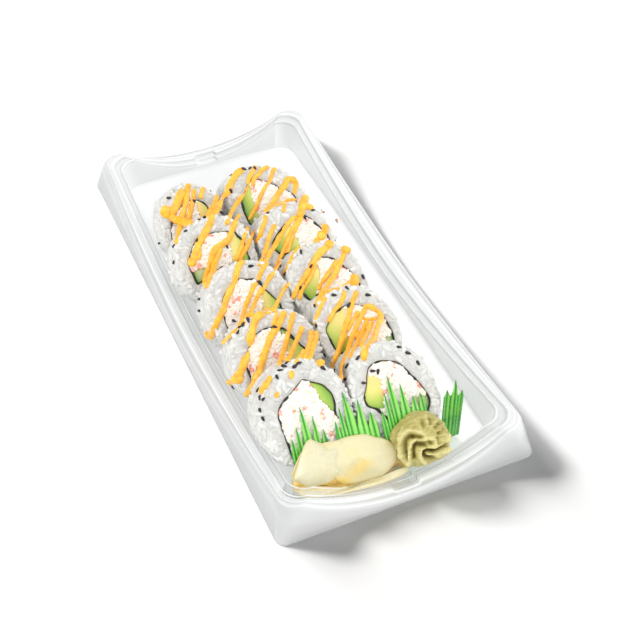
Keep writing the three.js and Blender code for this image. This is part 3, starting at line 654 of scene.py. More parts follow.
# Each light: where it comes from, strength, softness in degrees, and what it lights. "floor" is shaded by
# everything and "floor by tray" by the tray alone. Food is shaded by food, and nothing shades the tray.
LIGHTS = [
    ("floor_key", (-0.6, 0.85, 0.68), 3.25, 14, "floor"),
    ("floor_low", (-0.3, 0.9, 0.46), 1.95, 26, "floor by tray"),
    ("tray_overhead", (-0.1, 0.1, 1.0), 1.7, 120, "tray"),
    ("tray_left", (-1.0, 0.1, 0.25), 0.62, 90, "tray"),
    ("tray_right", (1.0, 0.1, 0.25), 0.7, 90, "tray"),
    ("tray_front", (0.85, -1.0, 0.3), 2.15, 90, "tray"),
    ("tray_back", (0.1, 1.0, 0.3), 0.6, 90, "tray"),
    ("overhead", (-0.1, 0.0, 1.0), 1.38, 150, "food"),
    ("front_fill", (-0.35, -0.9, 0.75), 1.05, 110, "food"),
    ("right_fill", (0.9, -0.2, 0.6), 1.95, 120, "food"),
    ("key", (-1.0, 0.1, 0.6), 1.3, 45, "food"),
]
LIGHT_COLOUR = (1, 0.99, 0.975)
SKY_COLOUR = (0.98, 0.99, 1.0, 1)
SKY_STRENGTH = 0.25
GROUND_REACH = 3.0  # of the floor under the tray, in metres, and its height
GROUND_HEIGHT = -0.0002


def linked(name, state, *objects):
    """A collection that says which objects a light includes or excludes."""
    collection = bpy.data.collections.new(name)
    for item, one in enumerate(objects):
        collection.objects.link(one)
        collection.collection_objects[item].light_linking.link_state = state
    return collection


def light_scene(materials, tray):
    """The pale ground, an even sky, and lights that each have their own subject."""
    scene = bpy.context.scene
    scene.view_settings.view_transform = "Standard"
    scene.view_settings.look = "None"
    world = bpy.data.worlds.new("studio")
    world.use_nodes = True
    background = world.node_tree.nodes["Background"]
    background.inputs["Color"].default_value = SKY_COLOUR
    background.inputs["Strength"].default_value = SKY_STRENGTH
    scene.world = world
    mesh = bpy.data.meshes.new("floor")
    square = ((-1, -1), (1, -1), (1, 1), (-1, 1))
    corners = [(x * GROUND_REACH, y * GROUND_REACH, GROUND_HEIGHT) for x, y in square]
    mesh.from_pydata(corners, [], [(0, 1, 2, 3)])
    mesh.materials.append(materials["floor"])
    floor = bpy.data.objects.new("floor", mesh)
    scene.collection.objects.link(floor)
    for name, source, strength, softness, subject in LIGHTS:
        data = bpy.data.lights.new(name, "SUN")
        data.energy = strength
        data.angle = math.radians(softness)
        data.color = LIGHT_COLOUR
        light = bpy.data.objects.new(name, data)
        light.rotation_euler = Vector(source).to_track_quat("Z", "Y").to_euler()
        scene.collection.objects.link(light)
        linking = light.light_linking
        if subject == "food":
            linking.receiver_collection = linked(f"lit_by_{name}", "EXCLUDE", floor, tray)
            linking.blocker_collection = linked(f"shading_{name}", "EXCLUDE", floor, tray)
        elif subject == "tray":
            linking.receiver_collection = linked(f"lit_by_{name}", "INCLUDE", tray)
            linking.blocker_collection = linked(f"shading_{name}", "INCLUDE", floor)
        else:
            linking.receiver_collection = linked(f"lit_by_{name}", "INCLUDE", floor)
            if subject == "floor by tray":
                linking.blocker_collection = linked(f"shading_{name}", "INCLUDE", tray)


# ---- Tray ----

def end_rise(t):
    """Height of the rim along an end, from 0 in its middle to 1 at a corner."""
    return END_RISE + (CORNER_RISE - END_RISE) * np.abs(t) ** 2.1


def side_rise(t):
    """The same along a side."""
    return SIDE_RISE + (CORNER_RISE - SIDE_RISE) * np.abs(t) ** 1.6


def tray_stations():
    """Places round the rim, anticlockwise from the front: kind, side in X and in Y, how far along it or at
    which angle, height of the rim there, and how far the lid's lock takes it out."""
    stations = []
    reach = TRAY_WIDTH / 2 - RIM_RADIUS
    half_lock = LOCK_LENGTH / 2 / reach
    fine = np.concatenate([
        np.linspace(0, half_lock * 0.8, 4),
        np.linspace(half_lock * 0.88, half_lock * 1.35, 7),
        np.linspace(half_lock * 1.6, 1, 22),
    ])

    def along_end(sign):
        for t in np.concatenate([-fine[::-1], fine[1:]]):
            lock = LOCK_DEPTH * (1 - smoothstep(abs(t), half_lock * 0.88, half_lock * 1.3))
            stations.append(("end", 0, sign, -sign * t, end_rise(t), lock))

    def along_side(sign):
        for t in np.linspace(-1, 1, 61):
            stations.append(("side", sign, 0, sign * t, side_rise(t), 0))

    def corner(sx, sy, start):
        for i in range(1, 12):
            stations.append(("corner", sx, sy, math.radians(start + 90 * i / 12), CORNER_RISE, 0))

    along_end(-1)
    corner(1, -1, -90)
    along_side(1)
    corner(1, 1, 0)
    along_end(1)
    corner(-1, 1, 90)
    along_side(-1)
    corner(-1, -1, 180)
    return stations


def tray_point(station, inset, height, radius):
    """The place of a station's section at an inset from the foot's outline, whose corners have a radius."""
    kind, sx, sy, at, _, _ = station
    half_x, half_y = TRAY_WIDTH / 2 - inset, TRAY_LENGTH / 2 - inset
    if kind == "end":
        return (at * (half_x - radius), sy * half_y, height)
    if kind == "side":
        return (sx * half_x, at * (half_y - radius), height)
    x, y = sx * (half_x - radius), sy * (half_y - radius)
    return (x + radius * math.cos(at), y + radius * math.sin(at), height)


def tray_section(rise, lock):
    """Inset and height of the upper face and of the lower face."""
    wall = WALL_INSET + WALL_LEAN * (rise - END_RISE)
    edge = SKIRT_FLARE * rise
    upper = [
        (0, 0), (SKIRT_FLARE * (rise - 1.4), rise - 1.4),  # the skirt
        (edge + 0.35, rise - 0.3), (edge + 1.4, rise),  # the rim's outer edge
        (4.9 - 0.7 * lock, rise + 0.1), (5.2 - 0.8 * lock, rise + 0.55), (7.3 - lock, rise + 0.5),  # a band
        (7.9 - lock, rise - 0.75), (10.0 - lock, rise - 0.9),  # a groove
        (10.5 - lock, rise - 0.45), (10.9 - lock, rise - 0.6), (11.3 - lock, rise - 2),  # the inner bead
        (wall, FLOOR + 0.8), (wall + 1.3, FLOOR), (wall + 4, FLOOR),  # the wall's foot and the floor
    ]
    lower = [
        (SHEET, 0), (SKIRT_FLARE * (rise - 1.7) + SHEET, rise - 1.7),
        (edge + 1.4, rise - SHEET),
        (7.1 - lock, rise - 0.45),
        (7.7 - lock, rise - 1.3), (9.8 - lock, rise - 1.5),
        (10.2 - lock, rise - 2.2),
        (wall - SHEET, 0.9), (wall + 0.4, 0), (wall + 4, 0),
    ]
    return filleted(np.array(upper), UPPER_BEND), filleted(np.array(lower), LOWER_BEND)


# The tray's materials, as slots of its mesh.
TRAY_MATERIALS = ("tray", "tray_front", "tray_ridge", "tray_hazy")
PLAIN, CLEAR, RIDGE, HAZY = range(4)


def make_tray(materials):
    """One closed sheet: from the floor's upper face out over the rim to the foot, and back underneath."""
    stations = tray_stations()
    sections = [tray_section(station[4], station[5]) for station in stations]
    loops = []
    for face, order in ((0, -1), (1, 1)):
        size = len(sections[0][face])
        for i in list(range(size))[::order]:
            radius = RIM_RADIUS if i or face else FOOT_RADIUS
            loops.append([tray_point(s, *sections[k][face][i], radius) for k, s in enumerate(stations)])
    loops = np.array(loops)
    rows, columns = loops.shape[:2]
    right = np.array([s[1] > 0 for s in stations])
    front = np.array([s[2] < 0 for s in stations])
    ends = np.array([s[0] != "side" for s in stations])

    upper = sections[0][0]
    heading = np.unwrap(np.arctan2(*np.diff(upper, axis=0).T[::-1]))
    bent = np.concatenate([[0], np.diff(heading), [0]])
    # The sheet's tone as painted light: painted highlights on the bends that stand out and painted shade in
    # the creases, then the painted shade and light of each part of the sheet.
    edges = np.clip(0.5 - EDGE_SHINE * bent, 0, 1)
    ridges = edges > RIDGE_TONE
    floor = upper[:, 0] > WALL_INSET + 0.5
    wall = upper[:, 0] > WALL_INSET - 0.35
    skirt = upper[:, 0] < SKIRT_WIDTH
    edges = edges - RIM_DARKER + np.where(floor, RIM_DARKER, np.where(wall, WALL_LIGHTER, 0))
    edges = edges - SKIRT_DARKER * skirt
    edges = edges[:, None] + (RIGHT_WALL_LIGHTER * wall + RIGHT_FLOOR_LIGHTER * floor)[:, None] * right
    edges = edges + OUTER_SKIRT_LIGHTER * skirt[:, None] * (front | right)
    tones = np.full((rows, columns), 0.5)
    tones[:len(upper)] = np.clip(edges, 0, 1)[::-1]
    shape = Shape()
    shape.loft(loops, tone=tones)

    across = np.array([tray_point(s, 0, 0, RIM_RADIUS)[0] for s in stations])
    window = np.where(across < CLEAR_END, CLEAR, np.where(across < HAZY_END, HAZY, PLAIN))
    window = np.where(ends & front, window, PLAIN)
    inset = TRAY_LENGTH / 2 + loops[:-1, :, 1].min(1)
    slots = np.where((inset > CLEAR_INSET)[:, None], window[None], PLAIN)
    # Ridges at the ends take the more opaque material, which shows their painted highlights as lines.
    ridge = np.concatenate([ridges[::-1], np.zeros(rows - len(upper), bool)])[:-1]
    slots = np.where(ridge[:, None] & ends[None], RIDGE, slots)
    shape.slots = [np.concatenate([slots.ravel(), np.full(2 * columns, PLAIN)])]
    return shape.build("tray_shell", [materials[k] for k in TRAY_MATERIALS], "tray", ["tray"])


# ---- Rolls ----

def reach_of(roll, grow):
    """How far the rice reaches left, right, up and down on the cut face."""
    a, b = roll["half"]
    left, right, top, bottom = roll["rice"]
    return (a + left + grow, a + right + grow, b + top + grow, b + bottom + grow)


def outline(roll, angle, reach, upper):
    """Points of a rounded form at angles. Upper is the power of its upper half, where 2 is an ellipse."""
    c, s = np.cos(angle), np.sin(angle)
    power = np.where(s > 0, upper, LOWER_POWER)
    scale = (np.abs(c) ** power + np.abs(s) ** power) ** (-1 / power)
    x = c * scale * np.where(c > 0, reach[1], reach[0])
    y = s * scale * np.where(s > 0, reach[2], reach[3])
    return np.stack([x - roll["skew"] * y, y], -1)


def on_face(roll, pixels):
    """Where the picture's rays through pixels meet the plane of a roll's cut face, in its own frame."""
    origin = to_world(roll, np.zeros(3))
    return on_plane(pixels, origin, *(to_world(roll, axis) - origin for axis in np.eye(3)))


def measure_filling(roll):
    """Keeps the filling's outline as distances all round from its middle."""
    fine = resampled(on_face(roll, roll["filling"]), 240)
    for _ in range(3):
        fine = (np.roll(fine, 1, 0) + 2 * fine + np.roll(fine, -1, 0)) / 4
    middle = fine.mean(0)
    angles = np.linspace(0, TURN, 480, endpoint=False)
    rice = outline(roll, angles, reach_of(roll, 0), rice_power(roll))
    bearings = np.linspace(0, TURN, 360, endpoint=False)
    roll["middle"], roll["bearings"] = middle, bearings
    roll["radii"] = np.minimum(distances_round(fine, middle, bearings),
                               distances_round(rice, middle, bearings) - LEAST_RICE)


def filling_radius(roll, bearing):
    """Distance of the filling's outline from its middle."""
    return np.interp(bearing % TURN, roll["bearings"], roll["radii"], period=TURN)


def filling_outline(roll, angle, grow):
    """Points of the filling's outline at angles, moved outward."""
    radius = filling_radius(roll, angle) + grow
    return roll["middle"] + np.stack([np.cos(angle), np.sin(angle)], -1) * np.asarray(radius)[..., None]


def filling_level(roll, points, grow):
    """1 on the filling's outline, less inside it."""
    offset = points[:, :2] - roll["middle"]
    bearing = np.arctan2(offset[:, 1], offset[:, 0])
    return np.linalg.norm(offset, axis=1) / (filling_radius(roll, bearing) + grow)


def area_of(part):
    x, y = part.T
    return 0.5 * np.sum(x * np.roll(y, -1) - y * np.roll(x, -1))


def split(region, line):
    """The smaller and the larger part of a closed outline that a line crosses."""
    start, end = (np.argmin(np.linalg.norm(region - p, axis=1)) for p in (line[0], line[-1]))
    size = len(region)
    first = np.concatenate([np.roll(region, -start, 0)[:(end - start) % size + 1], line[::-1][1:-1]])
    second = np.concatenate([np.roll(region, -end, 0)[:(start - end) % size + 1], line[1:-1]])
    return sorted((first, second), key=lambda part: abs(area_of(part)))


def rice_power(roll):
    """How square the upper half of a roll's rice is."""
    return (roll["point"] + 2.4) / 2


def face_height(roll):
    """Height of the middle of a roll's cut face over the ground."""
    return (roll["half"][1] + roll["rice"][3]) * SLOPE + STANDING_LENGTH * SLOPE + FLOOR + GAP


def pressed_flat(roll, points):
    """Keeps points of a roll above the tray's floor and inside its left wall."""
    points = points.copy()
    lowest = (FLOOR + GAP - face_height(roll)) / SLOPE - points[:, 2]
    points[:, 1] = np.maximum(points[:, 1], lowest)
    world = to_world(roll, points)
    rise = side_rise(np.minimum(1, np.abs(world[:, 1]) / (TRAY_LENGTH / 2 - WALL_INSET)))
    wall = -TRAY_WIDTH / 2 + WALL_INSET + WALL_ROOM
    beside = (world[:, 2] < rise + WALL_ROOM) & (world[:, 0] < wall)
    points[:, 0] += np.where(beside, wall - world[:, 0], 0)
    return points


def to_world(roll, points):
    """From a roll's own frame, with X and Y on its cut face, to the tray's."""
    turn = math.radians(roll["turn"])
    x, y, z = points[..., 0], points[..., 1], points[..., 2]
    back, height = (y - z) * SLOPE, (y + z) * SLOPE
    return np.stack([roll["x"] + x * math.cos(turn) - back * math.sin(turn),
                     roll["y"] + x * math.sin(turn) + back * math.cos(turn),
                     face_height(roll) + height], -1)


def finish_piece(shape, roll, kind, part, used):
    """Makes a piece of a roll, in place of the CAD's body of the same kind."""
    shape.build(f"{kind}_{roll['name']}_{part}", used, kind, [f"{kind}_{roll['name']}"])


# ---- Rice ----

GRAIN = ball(7, 5, 0.75)
GRAIN_HALF = ((2.1, 2.9), (1.15, 1.4), (0.7, 0.86))  # least and most of half its length, width, thickness
GRAIN_DEPTH = 0.66  # how far under the surface a grain's middle lies, on the faces and on the side
SIDE_GRAIN_DEPTH = 0.56
SINK = 0.14  # how far under the surface the paste between the grains lies, in the same two places
SIDE_SINK = 0.22
GRAIN_SPACING = 1.5
GRAINS_PER_AREA = 0.19
TRIES = 9  # random places for each one that is kept
CORE_ANGLES = 120
FACE_SHARE = 0.85  # of the ring of rice on a face, how much its grains count for against those on the side
FACE_AREA = 0.8
FRONT, SIDE, BACK = range(3)  # where a grain lies


def scattered(candidates, spacing, most):
    """Indices of candidates that keep their distance from each other."""
    kept = np.empty((most, 3))
    chosen = []
    for i, p in enumerate(candidates):
        if len(chosen) == most:
            break
        if not chosen or ((kept[:len(chosen)] - p) ** 2).sum(1).min() > spacing**2:
            kept[len(chosen)] = p
            chosen.append(i)
    return np.array(chosen)


def rice_surface(roll, draw, count):
    """Random places on the rice's face, side and back, with the way out of the surface at each."""
    angles = np.linspace(0, TURN, 721)
    ring = outline(roll, angles, reach_of(roll, 0), rice_power(roll))
    steps = np.linalg.norm(np.diff(ring, axis=0), axis=1)
    lengths = np.concatenate([[0], np.cumsum(steps)])
    angle = np.interp(draw.uniform(0, lengths[-1], count), lengths, angles)
    width = np.mean(roll["rice"])
    share = width * FACE_SHARE / (2 * width * FACE_SHARE + roll["length"])
    kind = draw.choice([FRONT, SIDE, BACK], count, p=[share, 1 - 2 * share, share])
    outer = outline(roll, angle, reach_of(roll, -EDGE), rice_power(roll))
    inner = filling_outline(roll, angle, GAP)
    part = np.sqrt(draw.uniform(0.02, 1, count))
    flat = inner + (outer - inner) * part[:, None]
    z = -draw.uniform(0.6, roll["length"] - 0.6, count)
    from_end = np.minimum(-z, roll["length"] + z)
    rounding = np.clip(1 - from_end / (1.6 * EDGE), 0, 1) ** 2 * EDGE
    side = outline(roll, angle, reach_of(roll, 0), rice_power(roll))
    ahead = outline(roll, angle + 0.02, reach_of(roll, 0), rice_power(roll))
    away = unit(np.stack([(ahead - side)[:, 1], -(ahead - side)[:, 0]], -1))
    side = side - away * rounding[:, None]
    z_face = np.where(kind == FRONT, 0.0, -roll["length"])
    tilt = rounding / EDGE * np.where(z > -roll["length"] / 2, 1, -1)
    face_normals = np.column_stack([np.zeros((count, 2)), np.where(kind == FRONT, 1.0, -1.0)])
    beside = (kind == SIDE)[:, None]
    points = np.where(beside, np.column_stack([side, z]), np.column_stack([flat, z_face]))
    normals = np.where(beside, unit(np.column_stack([away, tilt])), face_normals)
    return points, normals


def make_rice(roll, index, materials):
    """A ring of paste round the filling, with grains pressed into its faces and its side."""
    draw = generator(300 + index)
    shape = Shape()
    angles = np.linspace(0, TURN, CORE_ANGLES, endpoint=False)
    power, length = rice_power(roll), roll["length"]
    inner = filling_outline(roll, angles, GAP)

    def core_loop(grow, z, relief):
        flat = outline(roll, angles, reach_of(roll, grow), power)
        points = np.column_stack([flat, np.full(CORE_ANGLES, z)])
        bumps = 1 + relief * ripple(points, 2.2, 40 + index) / np.linalg.norm(flat, axis=1)
        points[:, :2] *= bumps[:, None]
        return pressed_flat(roll, points)

    def inner_loop(z):
        return pressed_flat(roll, np.column_stack([inner, np.full(CORE_ANGLES, z)]))

    depths = np.linspace(-length + SINK + EDGE, -SINK - EDGE, 12)
    loops = [inner_loop(-length + SINK), core_loop(-EDGE - SINK, -length + SINK, 0)]
    loops += [core_loop(-SIDE_SINK, z, 0.35) for z in depths]
    loops += [core_loop(-EDGE - SINK, -SINK, 0.2), inner_loop(-SINK)]
    # The paste has a lower tone than most grains: painted shade in the gaps between them.
    shape.loft([to_world(roll, loop) for loop in loops], goes_round=True, tone=0.25)

    reach = np.mean(roll["half"]) + np.mean(roll["rice"])
    area = TURN * reach * (length + 2 * FACE_AREA * np.mean(roll["rice"]))
    most = int(area * GRAINS_PER_AREA)
    points, normals = rice_surface(roll, draw, most * TRIES)
    chosen = scattered(points, GRAIN_SPACING, most)
    points, normals = points[chosen], normals[chosen]
    count = len(points)
    sunk = np.where(np.abs(normals[:, 2]) > 0.7, GRAIN_DEPTH, SIDE_GRAIN_DEPTH)
    sunk = sunk + draw.uniform(-0.1, 0.16, count)
    centre = points - normals * sunk[:, None]
    off_floor = to_world(roll, centre)[:, 2] > FLOOR + GAP + 0.5
    first = unit(np.cross(normals, unit(draw.normal(size=(count, 3)))))
    along = unit(first + normals * draw.normal(0, 0.07, count)[:, None])
    wide = unit(np.cross(normals, along))
    up = np.cross(along, wide)
    halves = [draw.uniform(low, high, count) for low, high in GRAIN_HALF]
    places = [centre] + [axis * half[:, None] for axis, half in zip((along, wide, up), halves)]
    places = [values[off_floor] for values in places]

    def settle(spread):
        spread[:, 2] = np.clip(spread[:, 2], -length - 0.1, 0.1)
        level = filling_level(roll, spread, GAP)
        outward = np.where(level > 0.5, np.maximum(1, 1 / np.maximum(level, 0.1)), 1)
        spread[:, :2] = roll["middle"] + (spread[:, :2] - roll["middle"]) * outward[:, None]
        return to_world(roll, pressed_flat(roll, spread))

    shape.copies(GRAIN, places, tone=draw.uniform(0, 1, off_floor.sum()), adjust=settle)
    finish_piece(shape, roll, "rice", "grains", [materials["rice"]])
    return shape


# ---- Nori ----

NORI_POINTS = 260
NORI_REACH = 13  # about how far it is from the filling's middle
NORI_THICKNESS = 0.28  # where it is plain, then its least and its most
NORI_LEAST = 0.14
NORI_MOST = 1.15
NORI_THICKER = 0.55  # where it shows dark


def make_nori(roll, index, materials):
    """A thin wavy ring that stands unevenly proud of the filling, thick where it shows dark."""
    angles = np.linspace(0, TURN, NORI_POINTS, endpoint=False)
    length = roll["length"]
    circle = np.column_stack([np.cos(angles), np.sin(angles)]) * NORI_REACH
    line = filling_outline(roll, angles, 0)
    spots = on_face(roll, roll["thick"])
    near = np.exp(-((np.linalg.norm(line[:, None] - spots[None], axis=2) / 1.5) ** 2)).sum(1)
    thick = NORI_THICKNESS + 0.14 * ripple(circle, 2.6, 70 + index) + 0.1 * ripple(circle, 1.1, 170 + index)
    thick = np.clip(thick + NORI_THICKER * near, NORI_LEAST, NORI_MOST)
    edge = -0.2 + 0.26 * ripple(circle, 2.6, 90 + index) + 0.1 * np.minimum(near, 1)
    shift = 0.22 * ripple(circle, 3.4, 50 + index) - 0.1

    def loop(inward, z):
        flat = filling_outline(roll, angles, GAP - 0.05 - inward + np.minimum(shift, 0))
        return np.column_stack([flat, np.broadcast_to(z, NORI_POINTS)])

    outside = [loop(0, z) for z in (-length + 0.5, -length / 2, edge - 0.25)]
    top = [loop(0.25 * thick, edge), loop(0.75 * thick, edge)]
    inward = [loop(thick, z) for z in (edge - 0.25, -length / 2, -length + 0.5)]
    loops = [to_world(roll, one) for one in outside + top + inward]
    shape = Shape()
    shape.loft(loops, goes_round=True, tone=np.tile(np.clip(0.3 + near, 0, 1), (len(loops), 1)))
    finish_piece(shape, roll, "nori", "sheet", [materials["nori"]])


# ---- Filling ----

def filling_regions(roll):
    """The outline of each kind of filling on the cut face."""
    rest = filling_outline(roll, np.linspace(0, TURN, 300, endpoint=False), -0.1)
    parts = {}
    for kind in ("cucumber", "avocado"):
        if kind in roll:
            parts[kind], rest = split(rest, spline(on_face(roll, roll[kind]), 0.4))
    parts["crab"] = rest
    return parts


def filling_block(roll, region, top, relief, bump, seed, tone=None):
    """The filling's solid: straight through the roll, with a rounded and slightly uneven cut face."""
    region = resampled(region, 110)
    middle = region.mean(0)
    spread = np.linalg.norm(region - middle, axis=1).mean()
    shape = Shape()
    loops, tones = [], []
    back = -roll["length"] + RECESS
    insets = [(0.94, back), (1, back + 0.3), (1, top - 4), (1, top - 0.55),
              (1 - 0.2 / spread, top - 0.12), (1 - 0.6 / spread, top)]
    insets += [(scale, top) for scale in (0.84, 0.7, 0.55, 0.4, 0.25, 0.1)]
    for scale, z in insets:
        flat = middle + (region - middle) * scale
        height = np.full(len(flat), float(z))
        if z >= top - 0.12:
            height = height + relief * ripple(flat, bump, seed)
        loops.append(to_world(roll, np.column_stack([flat, height])))
        tones.append(tone(flat) if tone else np.full(len(flat), 0.5))
    shape.loft(loops, tone=np.array(tones))
    return shape


FLAKE = ball(7, 5, 0.8)
FLAKE_HALF = ((0.9, 1.9), (0.6, 1.0), (0.3, 0.48))  # least and most of half its length, width, thickness
FLAKES_PER_FACE = 300
FLAKE_SPACING = 0.95
PALE_SHARE = 0.07  # of the flakes, then the share that is pink wherever it lies
PINK_SHARE = 0.012
CREAM, PINK, PALE = range(3)  # the slots of the crab's materials
FILLING_TOP = -0.5  # the filling's height over the rice, on the cut face
# Where flakes of the crab's pink outside show: pixel, and how far round it in pixels.
PINK_PIXELS = [
    (302, 383, 2.2), (309, 387, 2.4), (296, 390, 1.6), (322, 412, 2.4), (325, 416, 2.2), (333, 433, 2.6),
    (336, 436, 1.6), (390, 374, 2.0), (384, 394, 2.2), (417, 385, 2.4), (419, 388, 1.6), (396, 369, 1.4),
    (402, 394, 1.8), (199, 266, 2.4), (202, 269, 2.0), (193, 269, 1.6), (232, 297, 2.2), (237, 300, 3.0),
    (240, 303, 1.8), (273, 354, 2.0), (277, 355, 2.2), (250, 367, 3.2), (251, 371, 2.2), (254, 187, 2.4),
    (257, 207, 2.6), (253, 192, 1.8), (341, 267, 1.8), (345, 269, 2.0), (335, 277, 2.6), (343, 285, 1.6),
    (223, 255, 1.6), (205, 243, 1.6), (345, 293, 1.4), (382, 331, 1.4), (354, 333, 1.6)]


def make_crab(roll, index, materials):
    """Shredded crab: a soft block with flat flakes pressed into its cut face."""
    draw = generator(500 + index)
    region = filling_regions(roll)["crab"]
    shape = filling_block(roll, region, FILLING_TOP, 0.22, 3, 11 + index)
    low, high = region.min(0), region.max(0)
    middle = region.mean(0)
    pink = np.array(PINK_PIXELS)
    faces = [(FILLING_TOP, 1)]
    if roll["name"].endswith("_1"):
        faces.append((-roll["length"] + 0.9, -1))
    for top, side in faces:
        spots = draw.uniform(low, high, (FLAKES_PER_FACE * TRIES, 2))
        spots = spots[inside(spots, middle + (region - middle) * 0.94)]
        spots = np.column_stack([spots, np.zeros(len(spots))])
        spots = spots[scattered(spots, FLAKE_SPACING, FLAKES_PER_FACE)]
        count = len(spots)
        spots[:, 2] = top + side * draw.uniform(-0.16, 0.14, count)
        halves = [draw.uniform(least, most, count) for least, most in FLAKE_HALF]
        heading = draw.uniform(0, TURN, count)
        tilt = draw.normal(0, 0.14, count)
        along = unit(np.column_stack([np.cos(heading), np.sin(heading), tilt]))
        up = unit(np.column_stack([draw.normal(0, 0.12, (count, 2)), np.full(count, side)]))
        across = unit(np.cross(up, along))
        up = np.cross(along, across)
        slot = draw.choice([CREAM, PALE], count, p=[1 - PALE_SHARE, PALE_SHARE])
        pixels = to_pixels(to_world(roll, spots))
        near = np.linalg.norm(pixels[:, None] - pink[None, :, :2], axis=2) < pink[:, 2]
        slot = np.where(near.any(1), PINK, slot)
        slot = np.where(draw.uniform(size=count) < PINK_SHARE, PINK, slot)
        places = [spots] + [axis * half[:, None] for axis, half in zip((along, across, up), halves)]

        def settle(points, seed=index):
            points = dented(points, 0.12, 1.1, seed)
            level = np.maximum(filling_level(roll, points, 0.05), 1)
            points[:, :2] = roll["middle"] + (points[:, :2] - roll["middle"]) / level[:, None]
            return to_world(roll, points)

        shape.copies(FLAKE, places, slot=slot, adjust=settle)
    used = [materials[k] for k in ("crab_cream", "crab_pink", "crab_pale")]
    finish_piece(shape, roll, "crab", "shreds", used)
    return shape


def make_avocado(roll, index, materials):
    """A slice that turns green towards one side."""
    side, low, high = roll["green"]
    normal = np.array([math.cos(math.radians(side)), math.sin(math.radians(side))])
    region = filling_regions(roll)["avocado"]
    near, far = (region @ normal).min(), (region @ normal).max()

    def tone(flat):
        edge = 1 - filling_level(roll, flat, -0.1)
        skin = np.exp(-np.maximum(edge, 0) / 0.05) * 0.2 * high
        part = np.clip((flat @ normal - near) / (far - near), 0, 1)
        return np.clip(low + (high - low) * part**1.3 + skin, 0, 1)

    shape = filling_block(roll, region, FILLING_TOP, 0.1, 5, 31 + index, tone)
    finish_piece(shape, roll, "avocado", "slice", [materials["avocado"]])
    return shape


def make_cucumber(roll, index, materials):
    """A stick that is dark at the peel, where it meets the nori."""
    def tone(flat):
        edge = 1 - filling_level(roll, flat, -0.1)
        return np.clip(1 - edge / 0.2, 0, 1)

    shape = filling_block(roll, filling_regions(roll)["cucumber"], FILLING_TOP, 0.1, 4, 61 + index, tone)
    finish_piece(shape, roll, "cucumber", "stick", [materials["cucumber"]])
    return shape


# ---- Sauce and seeds ----

FARTHEST = 900  # beyond the tray's back, seen from the camera


def cast(pixel, trees):
    """Where the picture's ray through a pixel meets the food: distance, point and normal."""
    direction = pixel_ray(pixel)
    best = None
    for tree in trees:
        point, normal, _, distance = tree.ray_cast(Vector(CAMERA_PLACE), Vector(direction), FARTHEST)
        if point is not None and (best is None or distance < best[0]):
            best = (distance, np.array(point), np.array(normal))
    return best


